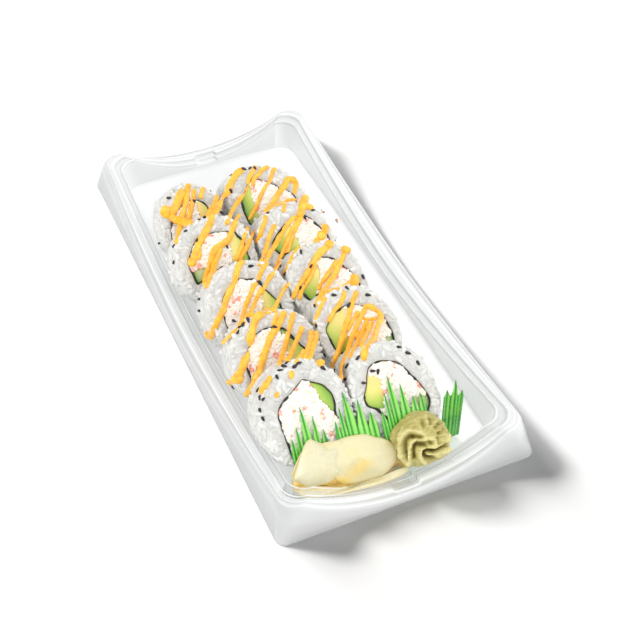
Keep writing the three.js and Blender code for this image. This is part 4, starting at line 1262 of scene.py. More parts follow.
# Each stroke: its width in pixels and the pixels it runs through.
STROKES = [
    (7.0, [(184, 190), (180, 196), (177, 204), (173, 211), (167, 214)]),
    (5.0, [(188, 184.5), (187, 193), (186, 201), (184, 210), (181, 219), (180, 227), (178, 236),
           (176.5, 244)]),
    (4.4, [(194, 189), (193, 199), (191, 208), (189, 216), (187, 224)]),
    (3.8, [(204, 187), (202, 192), (200, 199)]),
    (7.0, [(170, 214), (174, 219), (181, 221.5), (188, 223.5), (193, 223)]),
    (5.8, [(244, 169), (237, 173.5), (231, 183), (227, 193), (222, 200), (217, 209), (213, 217), (209, 225),
           (205, 233), (201, 240), (198, 247), (195, 254), (193, 261), (192, 266)]),
    (5.0, [(217, 195), (215, 203), (211, 211), (208, 219)]),
    (4.4, [(200, 237), (197, 245), (199, 252), (198, 260)]),
    (4.0, [(256, 164.5), (253, 171), (249, 178), (247, 186), (244, 193), (239, 200), (234, 208), (230, 216),
           (226, 225)]),
    (3.8, [(269, 166.5), (262, 170), (258, 175), (254, 179), (252, 186)]),
    (3.4, [(277, 167), (273, 171), (271, 177), (269, 182), (266, 186), (262, 193), (259, 200), (256, 207),
           (252, 214), (249, 220)]),
    (5.2, [(301, 184), (299, 179), (293, 176.5), (288, 179), (285, 185), (281, 190), (277, 196), (274, 202),
           (269, 208), (265, 213)]),
    (4.6, [(293, 178), (295.5, 184), (294.5, 191), (293, 195)]),
    (2.6, [(297, 200), (290, 199.5), (285, 202), (279, 204), (273, 207), (268, 211), (266, 216)]),
    (4.0, [(285, 203), (284, 208), (283, 212.5)]),
    (7.0, [(305, 198), (303, 205), (301, 212), (299, 218)]),
    (5.0, [(303, 204), (308, 206.5), (313.5, 208)]),
    (4.4, [(297, 216), (291, 220), (286, 226), (282, 233), (278, 240), (274, 247), (270, 253), (266, 260),
           (263, 267)]),
    (4.2, [(300, 217), (296, 224), (292, 231), (288, 239), (285, 247), (282, 255), (278, 263), (275, 270)]),
    (3.8, [(302, 217), (298, 224), (294, 232), (291, 240), (289, 248), (286, 255)]),
    (4.2, [(265, 215), (265, 221), (262, 228), (260, 236), (256, 243)]),
    (4.0, [(275, 224.5), (272, 231), (269, 238), (267, 245), (265, 252), (262, 259), (258, 266)]),
    (5.4, [(236, 220), (233, 228), (230, 235), (227, 241), (221, 245), (215, 249), (212, 256), (210, 263),
           (208, 271), (206, 279), (205, 286)]),
    (5.4, [(220, 247), (218, 255), (215, 263), (213, 271), (210, 279), (209, 287)]),
    (4.0, [(248, 227), (245, 234), (243, 241), (241, 248), (238, 255), (235, 261)]),
    (4.2, [(254, 231), (250, 239), (247, 247), (243, 254), (239, 261)]),
    (3.0, [(240, 214), (236, 220), (233, 226)]),
    (5.4, [(244, 261), (239, 265), (237, 272), (235, 279), (232, 286), (229, 293), (226, 300), (224, 308),
           (221, 315), (217, 322), (214, 329), (210, 336), (206, 339)]),
    (4.6, [(217, 324), (214, 331), (212, 337)]),
    (4.2, [(257, 282), (253, 288), (250, 295), (247, 302), (245, 309), (243, 316), (241, 323), (237, 330),
           (231, 335), (225, 341)]),
    (4.0, [(268, 262), (263, 268), (260, 275), (257, 282)]),
    (4.0, [(262, 287), (259, 294), (256, 300), (253, 307), (250, 313), (246, 319), (243, 325)]),
    (3.8, [(281, 262), (276, 269), (271, 276), (267, 282), (264, 288), (261, 294)]),
    (3.4, [(290, 283), (284, 289), (281, 295), (278, 301), (275, 307), (271, 312), (265, 313)]),
    (3.6, [(264, 309), (270, 310), (277, 310)]),
    (6.6, [(264, 313), (257, 317), (254, 324), (252, 332), (250, 340), (248, 348), (246, 357), (243, 366),
           (240, 373), (235, 379), (230, 383)]),
    (6.0, [(285, 311), (281, 319), (277, 327), (271, 336), (268, 344), (265, 352), (262, 361), (260, 370),
           (257, 379), (252, 387), (246, 395), (240, 401)]),
    (3.8, [(277, 312), (275, 319), (272, 327)]),
    (4.4, [(294, 312), (291, 322), (288, 333), (286, 343), (283, 352), (281, 360), (279, 366)]),
    (4.4, [(303, 326), (299, 335), (296, 342), (293, 349), (290, 357), (287, 362)]),
    (4.8, [(311, 330), (311, 338), (309, 346), (306, 354), (303, 361)]),
    (4.8, [(316, 331), (316, 339), (313, 347), (311, 354), (309, 362)]),
    (3.6, [(304, 350), (300, 357), (296, 363)]),
    (2.4, [(283, 357), (287, 360), (292, 362), (298, 362)]),
    (5.4, [(271, 376), (267, 383), (263, 389), (260, 394)]),
    (6.2, [(333, 242), (328, 246), (323, 251), (319, 255)]),
    (4.2, [(322, 248), (317, 255), (313, 262), (309, 269), (306, 275), (302, 281), (298, 287), (295, 293),
           (293, 299)]),
    (4.0, [(320, 254), (316, 261), (314, 268), (311, 275), (308, 281), (304, 287), (301, 293), (299, 300)]),
    (3.4, [(300, 247), (294, 254), (290, 262), (287, 269), (283, 275)]),
    (3.4, [(306, 280), (303, 287), (299, 294)]),
    (5.0, [(349, 251), (344, 248), (344, 254), (341, 261), (338, 267), (335, 274), (331, 280), (327, 286),
           (323, 292), (320, 299), (317, 306)]),
    (3.8, [(337, 260), (333, 266), (329, 272), (325, 278), (321, 284), (318, 290)]),
    (2.6, [(350, 281), (346, 284), (342, 287)]),
    (2.6, [(343, 291), (338, 289), (332, 289.5), (327, 292), (324, 297)]),
    (4.0, [(345, 291), (343, 298), (339, 305), (334, 311), (331, 317), (328, 322)]),
    (3.6, [(326, 297), (322, 304), (319, 311), (316, 318), (314, 324)]),
    (5.0, [(357, 291), (354, 298), (351, 306), (349, 314), (347, 322), (344, 330), (342, 338), (340, 346),
           (337, 354), (334, 361), (332, 368)]),
    (5.0, [(363, 307), (370, 306.5), (377, 311), (381, 317), (379, 323), (376, 330), (374, 337), (371, 343),
           (366, 348), (364, 354)]),
    (4.6, [(366, 308), (362, 314), (359, 321), (356, 328), (353, 335), (350, 343), (348, 351), (345, 359),
           (342, 366), (341, 373), (341, 380)]),
    (3.4, [(363, 318), (369, 319.5), (377, 318)]),
    (4.4, [(367, 320), (364, 328), (361, 335), (358, 342), (355, 348), (352, 354), (350, 359)]),
    (4.0, [(373, 322), (369, 329), (366, 336), (363, 342), (361, 348)]),
    (3.8, [(347, 331), (351, 324), (355, 317), (359, 311)]),
    (3.4, [(346, 334), (343, 342), (340, 350), (338, 357)]),
    (3.2, [(378, 328), (377, 335), (375, 342)]),
]
# Drops of sauce: pixel, and half width and half height in pixels.
DROPS = [
    (166, 212, 6.2, 6.6), (188, 186, 3.2, 3.0), (208, 285, 5.0, 4.4), (210, 335, 6.2, 4.6),
    (205, 338, 3.6, 2.8), (225, 342, 3.6, 3.2), (354, 281, 5.4, 7.2), (346, 250, 5.6, 4.0),
    (237, 379, 6.0, 4.8), (230, 382, 4.0, 3.4), (246, 398, 6.6, 5.0), (239, 401, 4.4, 3.4),
    (320, 363, 4.6, 4.0), (305, 199, 4.6, 4.8), (183, 222, 5.4, 4.0), (250, 317, 5.0, 4.0),
    (373, 310, 4.0, 3.4), (325, 229, 4.2, 6.0), (321, 236, 5.0, 5.0), (317, 241, 3.6, 3.6),
    (192, 262, 4.6, 4.8), (293, 180, 4.6, 3.8), (329, 244, 4.6, 4.2), (364, 354, 3.6, 7.0),
    (358, 335, 3.6, 5.0), (368, 328, 3.6, 5.4), (256, 377, 4.0, 4.6), (331, 291, 3.2, 2.2),
    (291, 375, 2.6, 4.6), (277, 395, 2.4, 3.0)]
STROKE_STEP = 1.3  # pixels between stations
STROKE_SIDES = 12
DRAPE = 2.4  # how steeply a stroke falls from an edge to what lies behind, in mm for each mm
SAUCE_FLATNESS = 0.42
SAUCE_WIDTH = 1.17  # of the width that is listed for a stroke
SAUCE_TURN = 0.8  # how far the sauce turns from its ground towards the camera
DROP = ball(14, 8)
DROP_THICKNESS = 1.1


def smoothed(values, half, passes=2):
    """Rows of values, each blended with up to half on either side of it."""
    kernel = np.hanning(2 * half + 3)[1:-1]
    kernel /= kernel.sum()
    for _ in range(passes):
        padded = np.concatenate([np.repeat(values[:1], half, 0), values, np.repeat(values[-1:], half, 0)])
        values = np.stack([np.convolve(column, kernel, "valid") for column in padded.T], -1)
    return values


def add_stroke(shape, width, pixels, trees, seed):
    """A strand of sauce along pixels, laid on what the picture's rays through them meet."""
    line = spline(pixels, STROKE_STEP)
    hits = [cast(p, trees) for p in line]
    run = [(p, hit) for p, hit in zip(line, hits) if hit is not None]
    if len(run) < 3:
        return
    directions = np.array([pixel_ray(p) for p, _ in run])
    depth = np.array([hit[0] for _, hit in run])
    at = np.arange(len(run)) * STROKE_STEP
    scale = depth.mean() / FOCAL_PIXELS
    fall = DRAPE * scale * np.abs(at[:, None] - at[None])
    half = min(3, len(run) // 2)
    depth = smoothed((depth[None] + fall).min(1)[:, None], half)
    points = CAMERA_PLACE + directions * depth
    normals = unit(smoothed(np.array([hit[2] for _, hit in run]), half) - SAUCE_TURN * directions)
    ahead = np.gradient(points, axis=0)
    across = unit(np.cross(normals, ahead))
    normals = unit(np.cross(ahead, across))
    uneven = 0.1 * ripple(at[:, None], 15, seed) + 0.06 * ripple(at[:, None], 5, seed + 3)
    radius = SAUCE_WIDTH * width / 2 * scale * (1 + uneven)
    ends = np.minimum(at, at[-1] - at) + 0.35
    cap = np.sqrt(np.clip(1 - (1 - np.minimum(ends / (0.55 * width), 1)) ** 2, 0.02, 1))
    radius = radius * cap
    loops = []
    for k in range(STROKE_SIDES):
        angle = TURN * k / STROKE_SIDES
        lift = SAUCE_FLATNESS * radius * (math.sin(angle) + 0.45)
        loops.append(points + across * (radius * math.cos(angle))[:, None] + normals * lift[:, None])
    shape.loft(np.stack(loops, 1))


def make_sauce(trees, materials):
    """All strands and drops of sauce, as one piece."""
    shape = Shape()
    for k, (width, pixels) in enumerate(STROKES):
        add_stroke(shape, width, pixels, trees, 900 + 7 * k)
    for k, (u, v, wide, tall) in enumerate(DROPS):
        hit = cast((u, v), trees)
        if hit is None:
            continue
        scale = hit[0] / FOCAL_PIXELS
        normal = unit(hit[2] - SAUCE_TURN * pixel_ray((u, v)))
        across = unit(np.cross(np.cross(normal, RIGHTWARD), normal))
        along = np.cross(normal, across)
        centre = hit[1] + normal * 0.2
        place = (centre, across * wide * scale, along * tall * scale, normal * DROP_THICKNESS)

        def wobble(points, seed=k):
            return dented(points, 0.22, 2.5, seed)

        shape.copies(DROP, [values[None] for values in place], adjust=wobble)
    shape.build("sauce_drizzle", [materials["sauce"]], "rice")
    return shape


# Each seed: pixel, and how it lies in the picture, in degrees down from the right.
SEEDS = [
    (169, 198, 0), (208, 188, 65), (194, 201, 50), (199, 220, -40), (205, 217, -30), (186, 231, -20),
    (197, 240, -65), (160, 243, -20), (174, 246, -35), (172, 224, 80), (231, 191, 60), (222, 213, 35),
    (272, 166, -70), (250, 168, -45), (255, 168, 45), (244, 169, 10), (268, 213, -30), (313, 210, -5),
    (305, 218, 65), (321, 210, 10), (174, 262, -50), (251, 266, -8), (260, 283, 52), (278, 269, 50),
    (285, 274, -40), (281, 266, -35), (284, 258, -50), (287, 254, -20), (301, 252, 75), (311, 266, -55),
    (300, 288, 88), (306, 296, 45), (318, 295, -70), (334, 295, 3), (347, 288, 40), (363, 277, 70),
    (368, 295, 5), (315, 306, 80), (349, 305, -60), (248, 320, 70), (243, 324, -60), (240, 327, -25),
    (238, 332, -65), (234, 321, 25), (200, 299, -10), (200, 311, 10), (275, 327, 10), (293, 338, 60),
    (316, 326, 88), (325, 355, 65), (287, 363, -35), (284, 366, 10), (280, 370, -10), (277, 377, 62),
    (295, 366, -35), (299, 363, -15), (258, 390, -60), (260, 398, 55), (263, 399, -30), (260, 411, 80),
    (263, 419, 60), (323, 368, 40), (347, 366, -60), (358, 358, -55), (346, 379, -15), (335, 371, 80),
    (378, 372, 85), (373, 371, 0), (364, 383, 5), (399, 347, 8), (418, 363, 60), (408, 353, 15),
    (233, 387, 65), (227, 247, 30)]
SEED = ball(8, 6, 0.9)
SEED_SIZE = (1.22, 0.62, 0.42)  # half its length, width and thickness
SEED_TAPER = 0.35
HIDDEN_SEEDS = 7  # on each roll, on the sides that the picture doesn't show
HIDDEN_TRIES = 600
HIDDEN_LOWEST = 8  # the least height of such a seed

# Tan crumbs on the tray's floor: pixel, and half length in mm.
CRUMBS = [(336.5, 220, 0.9), (323.5, 212, 0.8), (321.5, 210, 0.5), (337.5, 222, 0.5)]
CRUMB_LIFT = 0.35  # height of a crumb's middle over the floor
CRUMB_HALF = 0.4  # half its thickness


def make_crumbs(materials):
    """Small tan crumbs where the picture shows them on the floor."""
    shape = Shape()
    draw = generator(950)
    spots = []
    for u, v, _ in CRUMBS:
        ray = pixel_ray((u, v))
        spots.append(CAMERA_PLACE + ray * (FLOOR + CRUMB_LIFT - CAMERA_PLACE[2]) / ray[2])
    along = unit(draw.normal(size=(len(CRUMBS), 3)) * [1, 1, 0.1])
    across = np.cross([0, 0, 1.0], along)
    size = np.array([half for _, _, half in CRUMBS])[:, None]
    up = np.tile([0, 0, CRUMB_HALF], (len(CRUMBS), 1))
    shape.copies(SEED, (np.array(spots), along * size, across * size * 0.7, up))
    shape.build("floor_crumbs", [materials["crumb"]], "rice")


def make_seeds(rolls, trees, materials):
    """Drop-shaped seeds where the picture shows them, and a few on each roll's hidden sides."""
    draw = generator(77)
    template = (SEED[0].copy(), SEED[1], SEED[2])
    template[0][:, 1:] *= (1 - SEED_TAPER * template[0][:, :1])
    spots, headings = [], []
    for u, v, lie in SEEDS:
        hit = cast((u, v), trees)
        if hit is not None:
            spots.append((hit[1], unit(hit[2] - 0.5 * pixel_ray((u, v)))))
            angle = math.radians(lie)
            headings.append(math.cos(angle) * RIGHTWARD + math.sin(angle) * DOWNWARD)
    for roll in rolls:
        points, normals = rice_surface(roll, draw, HIDDEN_TRIES)
        points = to_world(roll, points)
        normals = to_world(roll, normals) - to_world(roll, np.zeros(3))
        hidden = np.einsum("ij,ij->i", normals, points - CAMERA_PLACE) > 0
        hidden &= (points[:, 2] > HIDDEN_LOWEST) & (normals[:, 2] > -0.2)
        for p, n in list(zip(points[hidden], normals[hidden]))[:HIDDEN_SEEDS]:
            spots.append((p - 0.1 * n, n))
            headings.append(draw.normal(size=3))
    centre, up = (np.array(v) for v in zip(*spots))
    count = len(spots)
    headings = np.array(headings)
    heading = unit(headings - up * np.einsum("ij,ij->i", headings, up)[:, None])
    wide = np.cross(up, heading)
    size = draw.uniform(0.8, 1.1, (count, 1))
    places = [centre + up * 0.25]
    places += [axis * half * size for axis, half in zip((heading, wide, up), SEED_SIZE)]
    shape = Shape()
    shape.copies(template, places, tone=draw.uniform(0, 1, count))
    shape.build("sesame_seeds", [materials["seed"]], "rice")


# ---- Condiments ----

def front_world(points):
    """From the condiments' own frame to the tray's."""
    c, s = math.cos(FRONT_TURN), math.sin(FRONT_TURN)
    x, y, z = points[..., 0], points[..., 1], points[..., 2]
    return np.stack([FRONT_X + x * c - y * s, FRONT_Y + x * s + y * c, z], -1)


def lean_at(height):
    """How far back the surface that the condiments lean on is at a height."""
    leaning = height - LEAN_HEIGHT
    return (-FOOT_DISTANCE + leaning + np.hypot(-FOOT_DISTANCE - leaning, BEND)) / 2


def on_lean(x, height, out):
    """Points that stand out from that surface, in the condiments' own frame."""
    step = 0.01
    slope = (lean_at(height + step) - lean_at(height - step)) / (2 * step)
    length = np.hypot(1, slope)
    y = lean_at(height) - out / length
    return np.stack(np.broadcast_arrays(x, y, height + out * slope / length), -1)


def blot(pixels, u, v, wide, tall):
    """1 at a pixel, and less all round it."""
    return np.exp(-(((pixels[..., 0] - u) / wide) ** 2) - ((pixels[..., 1] - v) / tall) ** 2)


# ---- Grass ----

# Each strip: its ends, and its blades' tips as places along it and heights, in mm.
GRASS = [
    dict(name="grass_left", start=-28.6, end=-13.4,
         tips=[(-27.2, 25.6), (-24.6, 28.4), (-21.2, 33.4), (-17.4, 30.2), (-14.3, 26)]),
    dict(name="grass_middle", start=-10.2, end=7.3,
         tips=[(-9.3, 27.2), (-6.4, 30.6), (-3.4, 34.4), (1.2, 31.6), (5.4, 27.2)]),
    dict(name="grass_right", start=8.7, end=27.9,
         tips=[(9.9, 26.4), (12.6, 31.2), (15.4, 35.4), (19.4, 32.4), (23.4, 28), (26.8, 28.6)]),
    dict(name="grass_end", start=35.4, end=43.6, stand=-5.5, tips=[(36.6, 30), (40, 34.4), (42.6, 29)]),
]
GRASS_NOTCH = 4.0  # how far under the lower tip two blades are cut free of each other
GRASS_HALF = 0.14  # half the sheet's thickness
RIB_WIDTH = 0.42
RIB_DEPTH = 0.22
ROOT_DARK = 14  # below this height the strip is darker


def make_grass(strip, index, materials):
    """A thin ribbed strip: one closed sheet for each blade, from the floor to its point."""
    shape = Shape()
    places = np.array([place for place, _ in strip["tips"]])
    joints = np.concatenate([[strip["start"]], (places[1:] + places[:-1]) / 2, [strip["end"]]])
    for i, (middle, tip) in enumerate(strip["tips"]):
        neighbours = [strip["tips"][k][1] for k in (i - 1, i + 1) if 0 <= k < len(places)]
        root = min([tip] + neighbours) - GRASS_NOTCH
        heights = np.concatenate([np.linspace(FLOOR + GAP, root, 18),
                                  root + (tip - root) * np.linspace(0.06, 1, 18)])
        rise = np.clip((heights - root) / (tip - root), 0, 1)
        narrow = (1 - rise**0.9)[:, None]
        part = np.linspace(-1, 1, 15)[None]
        reach = np.where(part < 0, middle - joints[i], joints[i + 1] - middle)
        x = middle + part * (reach * narrow + 0.05)
        from_middle = np.abs(x - middle)
        from_joint = np.minimum(np.abs(x - joints[i]), np.abs(x - joints[i + 1]))
        rib = np.exp(-((from_middle / RIB_WIDTH) ** 2))
        rib = rib + 0.8 * np.exp(-((from_joint / RIB_WIDTH) ** 2))
        tone = 1.02 - rib - 0.25 * (heights[:, None] < ROOT_DARK) - 0.1 * (1 - rise[:, None])
        tone = np.clip(tone, 0, 1)
        wave = 0.35 * np.sin(x * 0.55 + index) * smoothstep(heights, 4, 20)[:, None]
        fold = -RIB_DEPTH * rib + 0.12 * (i % 2)
        curl = 0.6 * rise[:, None] ** 2 * math.sin(i * 2.1 + index)
        out = wave + fold + curl
        tall = np.broadcast_to(heights[:, None], x.shape)
        sides = []
        for side in (GRASS_HALF, -GRASS_HALF):
            if "stand" in strip:
                points = np.stack([x, strip["stand"] - out - side, tall], -1)
            else:
                points = on_lean(x, tall, out + side + 0.15)
            sides.append(front_world(points))
        loops = np.concatenate([sides[0], sides[1][:, ::-1]], 1)
        shape.loft(loops, tone=np.concatenate([tone, tone[:, ::-1]], 1))
    shape.build(f"{strip['name']}_blades", [materials["grass"]], "grass", [strip["name"]])


# ---- Ginger ----

# The heap's upper edge: places along it and heights, in mm.
GINGER_EDGE = [(-31.5, 17.5), (-26, 22.6), (-20.6, 25.4), (-15.5, 22), (-8, 23), (0, 22), (6, 19), (11, 17),
               (15.5, 12)]
GINGER_MIDDLE = -11
GINGER_FOOT = 0.74  # its breadth at the foot, as a share
GINGER_BACK = 0.8
GINGER_CORE = 0.8  # share of the heap's thickness that the core under the slices takes up


def ginger_thickness(across, up):
    """The heap's thickness, at shares of the way across it and up it."""
    foot = 1.3 + 4.6 * smoothstep(up, 0, 0.45)
    edge = 1 - 0.78 * smoothstep(up, 0.62, 1)
    ends = np.sin(math.pi * np.clip(across, 0.04, 0.96)) ** 0.35
    folds = 1 + 0.16 * np.sin(across * 17 + up * 3) + 0.1 * np.sin(across * 7 - up * 8)
    return foot * edge * ends * folds


def inside_front_wall(points):
    """Points of the condiments, with those that would be in the tray's front wall moved behind it."""
    world = front_world(points)
    rise = end_rise(np.minimum(1, np.abs(world[..., 0]) / (TRAY_WIDTH / 2 - RIM_RADIUS)))
    wall = -TRAY_LENGTH / 2 + WALL_INSET + 2 * WALL_LEAN * rise + WALL_ROOM
    beside = (points[..., 2] < rise + WALL_ROOM) & (world[..., 1] < wall)
    points = points.copy()
    points[..., 1] += np.where(beside, wall - world[..., 1], 0)
    return points


# Slices from the lowest to the uppermost: how far in front of the heap, tone, and outline in pixels. The
# last one dives under its neighbour between two columns of pixels.
SLICES = [
    dict(lift=0.3, tone=0.86, outline=[
        (296, 486), (306, 489), (320, 491), (335, 490.5), (350, 487.5), (365, 484), (380, 479),
        (395, 472.5), (404, 466.5), (409, 468.5), (405, 474), (396, 478.5), (385, 482.5), (375, 486),
        (360, 490), (340, 494.5), (320, 497), (304, 496), (298, 492)]),
    dict(lift=1.3, tone=0.84, outline=[
        (322, 443), (329, 441.5), (337, 440), (345, 437), (357, 434.5), (366, 434), (374, 436.5),
        (384, 438.5), (391, 442), (396, 447), (398.5, 453), (396, 460), (392, 467), (386, 473),
        (377, 477.5), (365, 481), (352, 483.5), (342, 483), (334, 477), (326, 463)]),
    dict(lift=1.9, tone=0.97, dives=(320, 352), outline=[
        (310, 438.5), (306, 442), (303, 448), (300.5, 456), (298, 464), (294.5, 475), (294, 480),
        (299, 482.5), (305, 486.5), (311, 488), (320, 485.5), (329, 482.8), (336, 477.5), (344, 473.5),
        (349, 464), (347, 454), (338, 448), (328, 449), (323, 444), (317, 441.5)]),
]
# Deeper colour in the slices: middle, reach across and down, all in pixels, and how much darker.
STAINS = [(366, 463, 9, 5, 0.26), (356, 471, 11, 7, 0.34), (343, 481, 11, 6, 0.42), (330, 485, 12, 3, 0.4),
          (316, 489, 10, 2.6, 0.4), (352, 452, 9, 7, 0.1), (300, 487, 6, 4, 0.35), (327, 447, 5, 6, 0.12),
          (382, 443, 6, 3, 0.1)]
# Painted shade in the hollow between the ginger and the wasabi:
AMBER = (397, 468, 13, 8)  # the dark hollow between the ginger and the wasabi, in pixels
SLICE_HALF = 0.45  # half a slice's thickness
SLICE_RINGS = np.array([0.02, 0.15, 0.3, 0.45, 0.6, 0.74, 0.86, 0.94, 0.98, 1.0])  # from middle to rim


def stained(pixels):
    """How much deeper the ginger's colour is at pixels."""
    return sum(amount * blot(pixels, *spot) for *spot, amount in STAINS)


def make_ginger(materials):
    """A heap of wet slices: a core of the heap's own form, and thin wavy slices that lie on its front."""
    edge_line = spline(GINGER_EDGE, 0.1)
    lengths = np.linspace(0, 1, len(edge_line))
    across = np.linspace(0, 1, 90)[:, None]
    up = np.linspace(0, 1, 40)[None]
    top_x, top = (np.interp(across, lengths, edge_line[:, k]) for k in (0, 1))
    height = FLOOR + GAP + (top * 0.94 - FLOOR - GAP) * up
    breadth = GINGER_FOOT + (1 - GINGER_FOOT) * np.minimum(1, 1.8 * up)
    x = GINGER_MIDDLE + (top_x - GINGER_MIDDLE) * breadth * 0.97
    back = on_lean(x, height, GINGER_BACK)
    front = on_lean(x, height, GINGER_BACK + ginger_thickness(across, up) * GINGER_CORE)
    core = front_world(np.concatenate([back, inside_front_wall(front)[:, ::-1]], 1))
    pixels = to_pixels(core)
    shape = Shape()
    # The core's tone is lowered by the painted shade in the hollow and by the stains.
    shape.loft(core, tone=np.clip(0.6 - 0.62 * blot(pixels, *AMBER) - 1.1 * stained(pixels), 0, 1))
    heap = shape.tree()
    middle = front_world(on_lean(np.array(GINGER_MIDDLE), np.array(11.0), 4.5))
    facing = front_world(np.array([0, -1.0, 1.0])) - front_world(np.zeros(3))

    def on_heap(pixel):
        """On the heap, or beside it on the plane that it faces."""
        ray = pixel_ray(pixel)
        reach = ((middle - CAMERA_PLACE) @ facing) / (ray @ facing)
        hit = cast(pixel, [heap])
        return min(hit[0], reach + 2) if hit else reach

    shares = SLICE_RINGS[:, None]
    for number, one in enumerate(SLICES):
        rim = resampled(spline(one["outline"] + one["outline"][:1], 2)[:-1], 110)
        centre = rim.mean(0)
        pixels = centre + (rim - centre) * shares[..., None]
        depth = np.array([[on_heap(p) for p in row] for row in pixels])
        for _ in range(4):
            depth = (np.roll(depth, 2, 1) + depth + np.roll(depth, -2, 1)) / 3
            depth[1:-1] = (depth[:-2] + depth[1:-1] + depth[2:]) / 3
        rays = np.array([[pixel_ray(p) for p in row] for row in pixels])
        sheet = CAMERA_PLACE + rays * depth[..., None]
        wave = 0.4 * ripple(pixels, 34, 610 + number, 5) + 0.12 * ripple(pixels, 12, 620 + number, 5)
        curl = -0.5 * shares**5 * (0.6 + 0.5 * ripple(rim, 30, 630 + number, 4))
        if "dives" in one:
            begin, end = one["dives"]
            curl = curl - 1.7 * smoothstep(pixels[..., 0] + 0.25 * (pixels[..., 1] - 460), begin, end)
        thick = SLICE_HALF * np.sqrt(np.clip(1.02 - shares**8, 0, 1))
        lift = one["lift"] + wave + curl
        loops = [sheet - rays * (lift + side * thick)[..., None] for side in (1, -1)]
        tone = one["tone"] - stained(pixels) - 0.1 * (shares > 0.9) + 0.05 * ripple(pixels, 18, 640, 4)
        shape.loft(np.concatenate([loops[0], loops[1][::-1]]), tone=np.concatenate([tone, tone[::-1]]))
    shape.build("ginger_slices", [materials["ginger"]], "ginger", ["ginger"])


# ---- Wasabi ----

WASABI_X = 22.2
WASABI_SLOPE = -18.5  # how far up the lean its middle is from LEAN_HEIGHT
WASABI_HEIGHT = 8.6
WASABI_RIM = 2.2  # how far off the lean it is broadest
WASABI_POINTS = 300  # all round, and rings from the rim to the top
WASABI_RINGS = 110
# The rosette's outline, then its ridges and grooves, all in pixels. A ridge or groove is its height in mm,
# half its width in pixels and the pixels it runs through.
ROSETTE = [
    (391.5, 440), (392, 434), (395, 428), (400, 423), (405, 418), (409, 414.5), (414, 412.2), (420, 411.5),
    (426, 412.2), (432, 414), (438, 418), (442.5, 423), (446, 428), (449.5, 433), (450, 439), (448, 445),
    (450, 450), (445, 455.5), (436, 460), (427, 464), (417, 466), (407, 465), (402, 461), (399.5, 455),
    (396, 447)]
FOLDS = [
    (1.0, 2.3, [(401, 456), (400, 446), (401, 440), (403, 436), (406, 432.5), (410, 431), (415, 431.5),
                (419, 433), (424, 435.5)]),
    (-1.5, 2.6, [(405, 452), (404.5, 445), (406.5, 439), (410, 436), (415, 436.5), (420, 437.5)]),
    (-0.9, 1.7, [(413, 436.5), (413.5, 436.8)]),
    (-0.9, 1.7, [(422, 437), (422.5, 437.3)]),
    (1.3, 2.4, [(409, 465), (409, 455), (410, 449), (411, 445), (413, 441.5), (416, 439.5), (420, 439.5),
                (426, 440), (431, 439), (435.5, 440), (436, 444), (433, 447)]),
    (-1.9, 2.3, [(414, 458), (413, 450), (414, 445.5), (417, 443.6), (421, 444), (425, 444.2)]),
    (1.1, 2.2, [(433, 447), (429, 448), (425, 448.3), (422, 450), (420.6, 455), (421, 460),
                (424.5, 462.5)]),
    (-2.3, 2.1, [(432, 450.3), (427, 450), (424.3, 451.5), (424, 455), (427, 457.6), (432, 458)]),
    (0.9, 2.4, [(427, 454), (432, 454), (438, 454.5), (445, 452), (451, 448.5)]),
    (-2.2, 1.9, [(434, 451), (437.5, 449.6), (441.5, 447.6), (445.5, 445)]),
    (0.9, 2.2, [(449, 436), (447.5, 442), (442.5, 446), (437.5, 448)]),
    (-1.1, 1.9, [(437.5, 439), (437.5, 443.5)]),
    (-1.3, 1.9, [(428, 441), (431.5, 443)]),
    (-1.6, 1.8, [(406.5, 455), (407, 460)]),
    (0.6, 1.3, [(400, 455), (403, 460), (407.5, 463.5)]),
    (0.5, 1.8, [(425.5, 415), (426, 420), (428, 426)]),
    (0.5, 1.8, [(437.5, 419), (434, 423), (431, 428)]),
    (0.4, 1.8, [(414, 420), (419, 426), (421, 431)]),
    (-0.6, 1.8, [(430, 419), (431, 423)]),
    (-0.6, 1.8, [(422.5, 421), (423.5, 427)]),
    (-0.7, 1.8, [(439, 423.5), (436, 427)]),
    (-0.7, 1.8, [(443, 430), (439, 433)]),
    (-0.5, 2.4, [(395.5, 441), (396, 434), (399, 429)]),
    (-0.6, 1.8, [(394, 444), (391, 443)]),
    (0.5, 2.0, [(398, 440), (399, 433), (402, 428.5)]),
]
FURROW = 0.17  # fine lines that the nozzle leaves, in mm


def fold_distance(pixels, line):
    """Distance of pixels from a line of pixels."""
    line = np.array(line, float)
    a, step = line[:-1], np.diff(line, axis=0)
    offset = pixels[..., None, :] - a
    part = np.clip((offset * step).sum(-1) / np.maximum((step**2).sum(-1), 1e-9), 0, 1)
    return np.linalg.norm(offset - part[..., None] * step, axis=-1).min(-1)


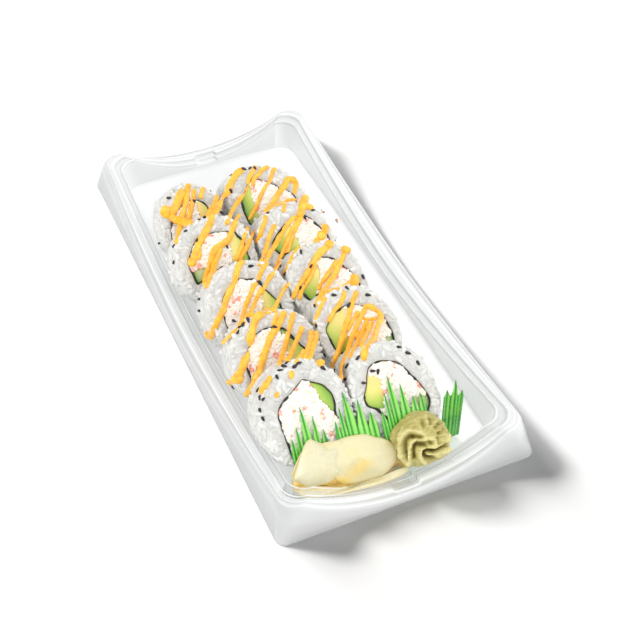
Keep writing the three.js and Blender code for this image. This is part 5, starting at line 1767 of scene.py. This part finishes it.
def make_wasabi(materials):
    """A piped rosette: a soft mound whose paste folds over itself in ridges, with deep grooves under."""
    down = WASABI_SLOPE * SLOPE
    centre = on_lean(WASABI_X, LEAN_HEIGHT, 1.0) + np.array([0, down, down])
    origin = front_world(centre)
    across, along, out = (front_world(centre + np.array(v)) - origin for v in
                          ((1, 0, 0), (0, SLOPE, SLOPE), (0, -SLOPE, SLOPE)))
    rim = on_plane(spline(ROSETTE + ROSETTE[:1], 1)[:-1], origin + out * WASABI_RIM, across, along, out)
    middle = rim.mean(0)
    angles = np.linspace(0, TURN, WASABI_POINTS, endpoint=False)
    radius = distances_round(rim, middle, angles)
    part = np.linspace(0, 1, WASABI_RINGS + 1)[:, None]
    size = radius * np.cos(part * math.pi / 2) ** 0.62 + 0.02
    height = WASABI_HEIGHT * np.sin(part * math.pi / 2) ** 0.85 * np.ones_like(size)
    x = middle[0] + size * np.cos(angles)
    y = middle[1] + size * np.sin(angles)
    points = origin + x[..., None] * across + y[..., None] * along + height[..., None] * out
    around = np.roll(points, -1, 1) - np.roll(points, 1, 1)
    normals = unit(np.cross(around, np.gradient(points, axis=0)))
    normals = np.where((normals @ out > -0.2)[..., None], normals, -normals)
    normals[-1] = out
    pixels = to_pixels(points)
    relief = np.zeros(size.shape)
    for amount, wide, line in FOLDS:
        relief += amount * np.exp(-((fold_distance(pixels, line) / wide) ** 2))
    relief = np.clip(relief, -2.6, 1.5)
    seen = smoothstep(-np.einsum("ijk,ijk->ij", normals, unit(points - CAMERA_PLACE)), 0, 0.35)
    hidden = 0.5 * np.abs(np.sin(angles * 4.5)) * (1 - seen)
    fine = FURROW * ripple(np.stack([pixels[..., 0] * 0.35, pixels[..., 1]], -1), 2.4, 700, 9)
    fine = fine + 0.16 * ripple(points, 1.5, 710, 9)
    foot = smoothstep(height, 0, 1.2)
    move = (relief * seen + hidden + fine) * foot
    shape = Shape()
    # Painted shade and light: the tone follows the relief, so grooves and furrows are darker and ridges
    # lighter; it is also darker towards the top of the picture.
    tone = np.clip(0.64 + move / 2.5 - 0.14 * smoothstep(-pixels[..., 1], -440, -424), 0, 1)
    shape.loft(points + normals * move[..., None], tone=tone)
    shape.build("wasabi_rosette", [materials["wasabi"]], "wasabi", ["wasabi"])


def main():
    materials = make_materials()
    place_camera()
    light_scene(materials, make_tray(materials))
    trees = []
    for index, roll in enumerate(ROLLS):
        measure_filling(roll)
        builders = [make_rice, make_crab, make_avocado]
        if "cucumber" in roll:
            builders.append(make_cucumber)
        shapes = [builder(roll, index, materials) for builder in builders]
        make_nori(roll, index, materials)
        trees += [shape.tree() for shape in shapes]
    sauce = make_sauce(trees, materials)
    make_seeds(ROLLS, trees + [sauce.tree()], materials)
    make_crumbs(materials)
    for index, strip in enumerate(GRASS):
        make_grass(strip, index, materials)
    make_ginger(materials)
    make_wasabi(materials)


main()
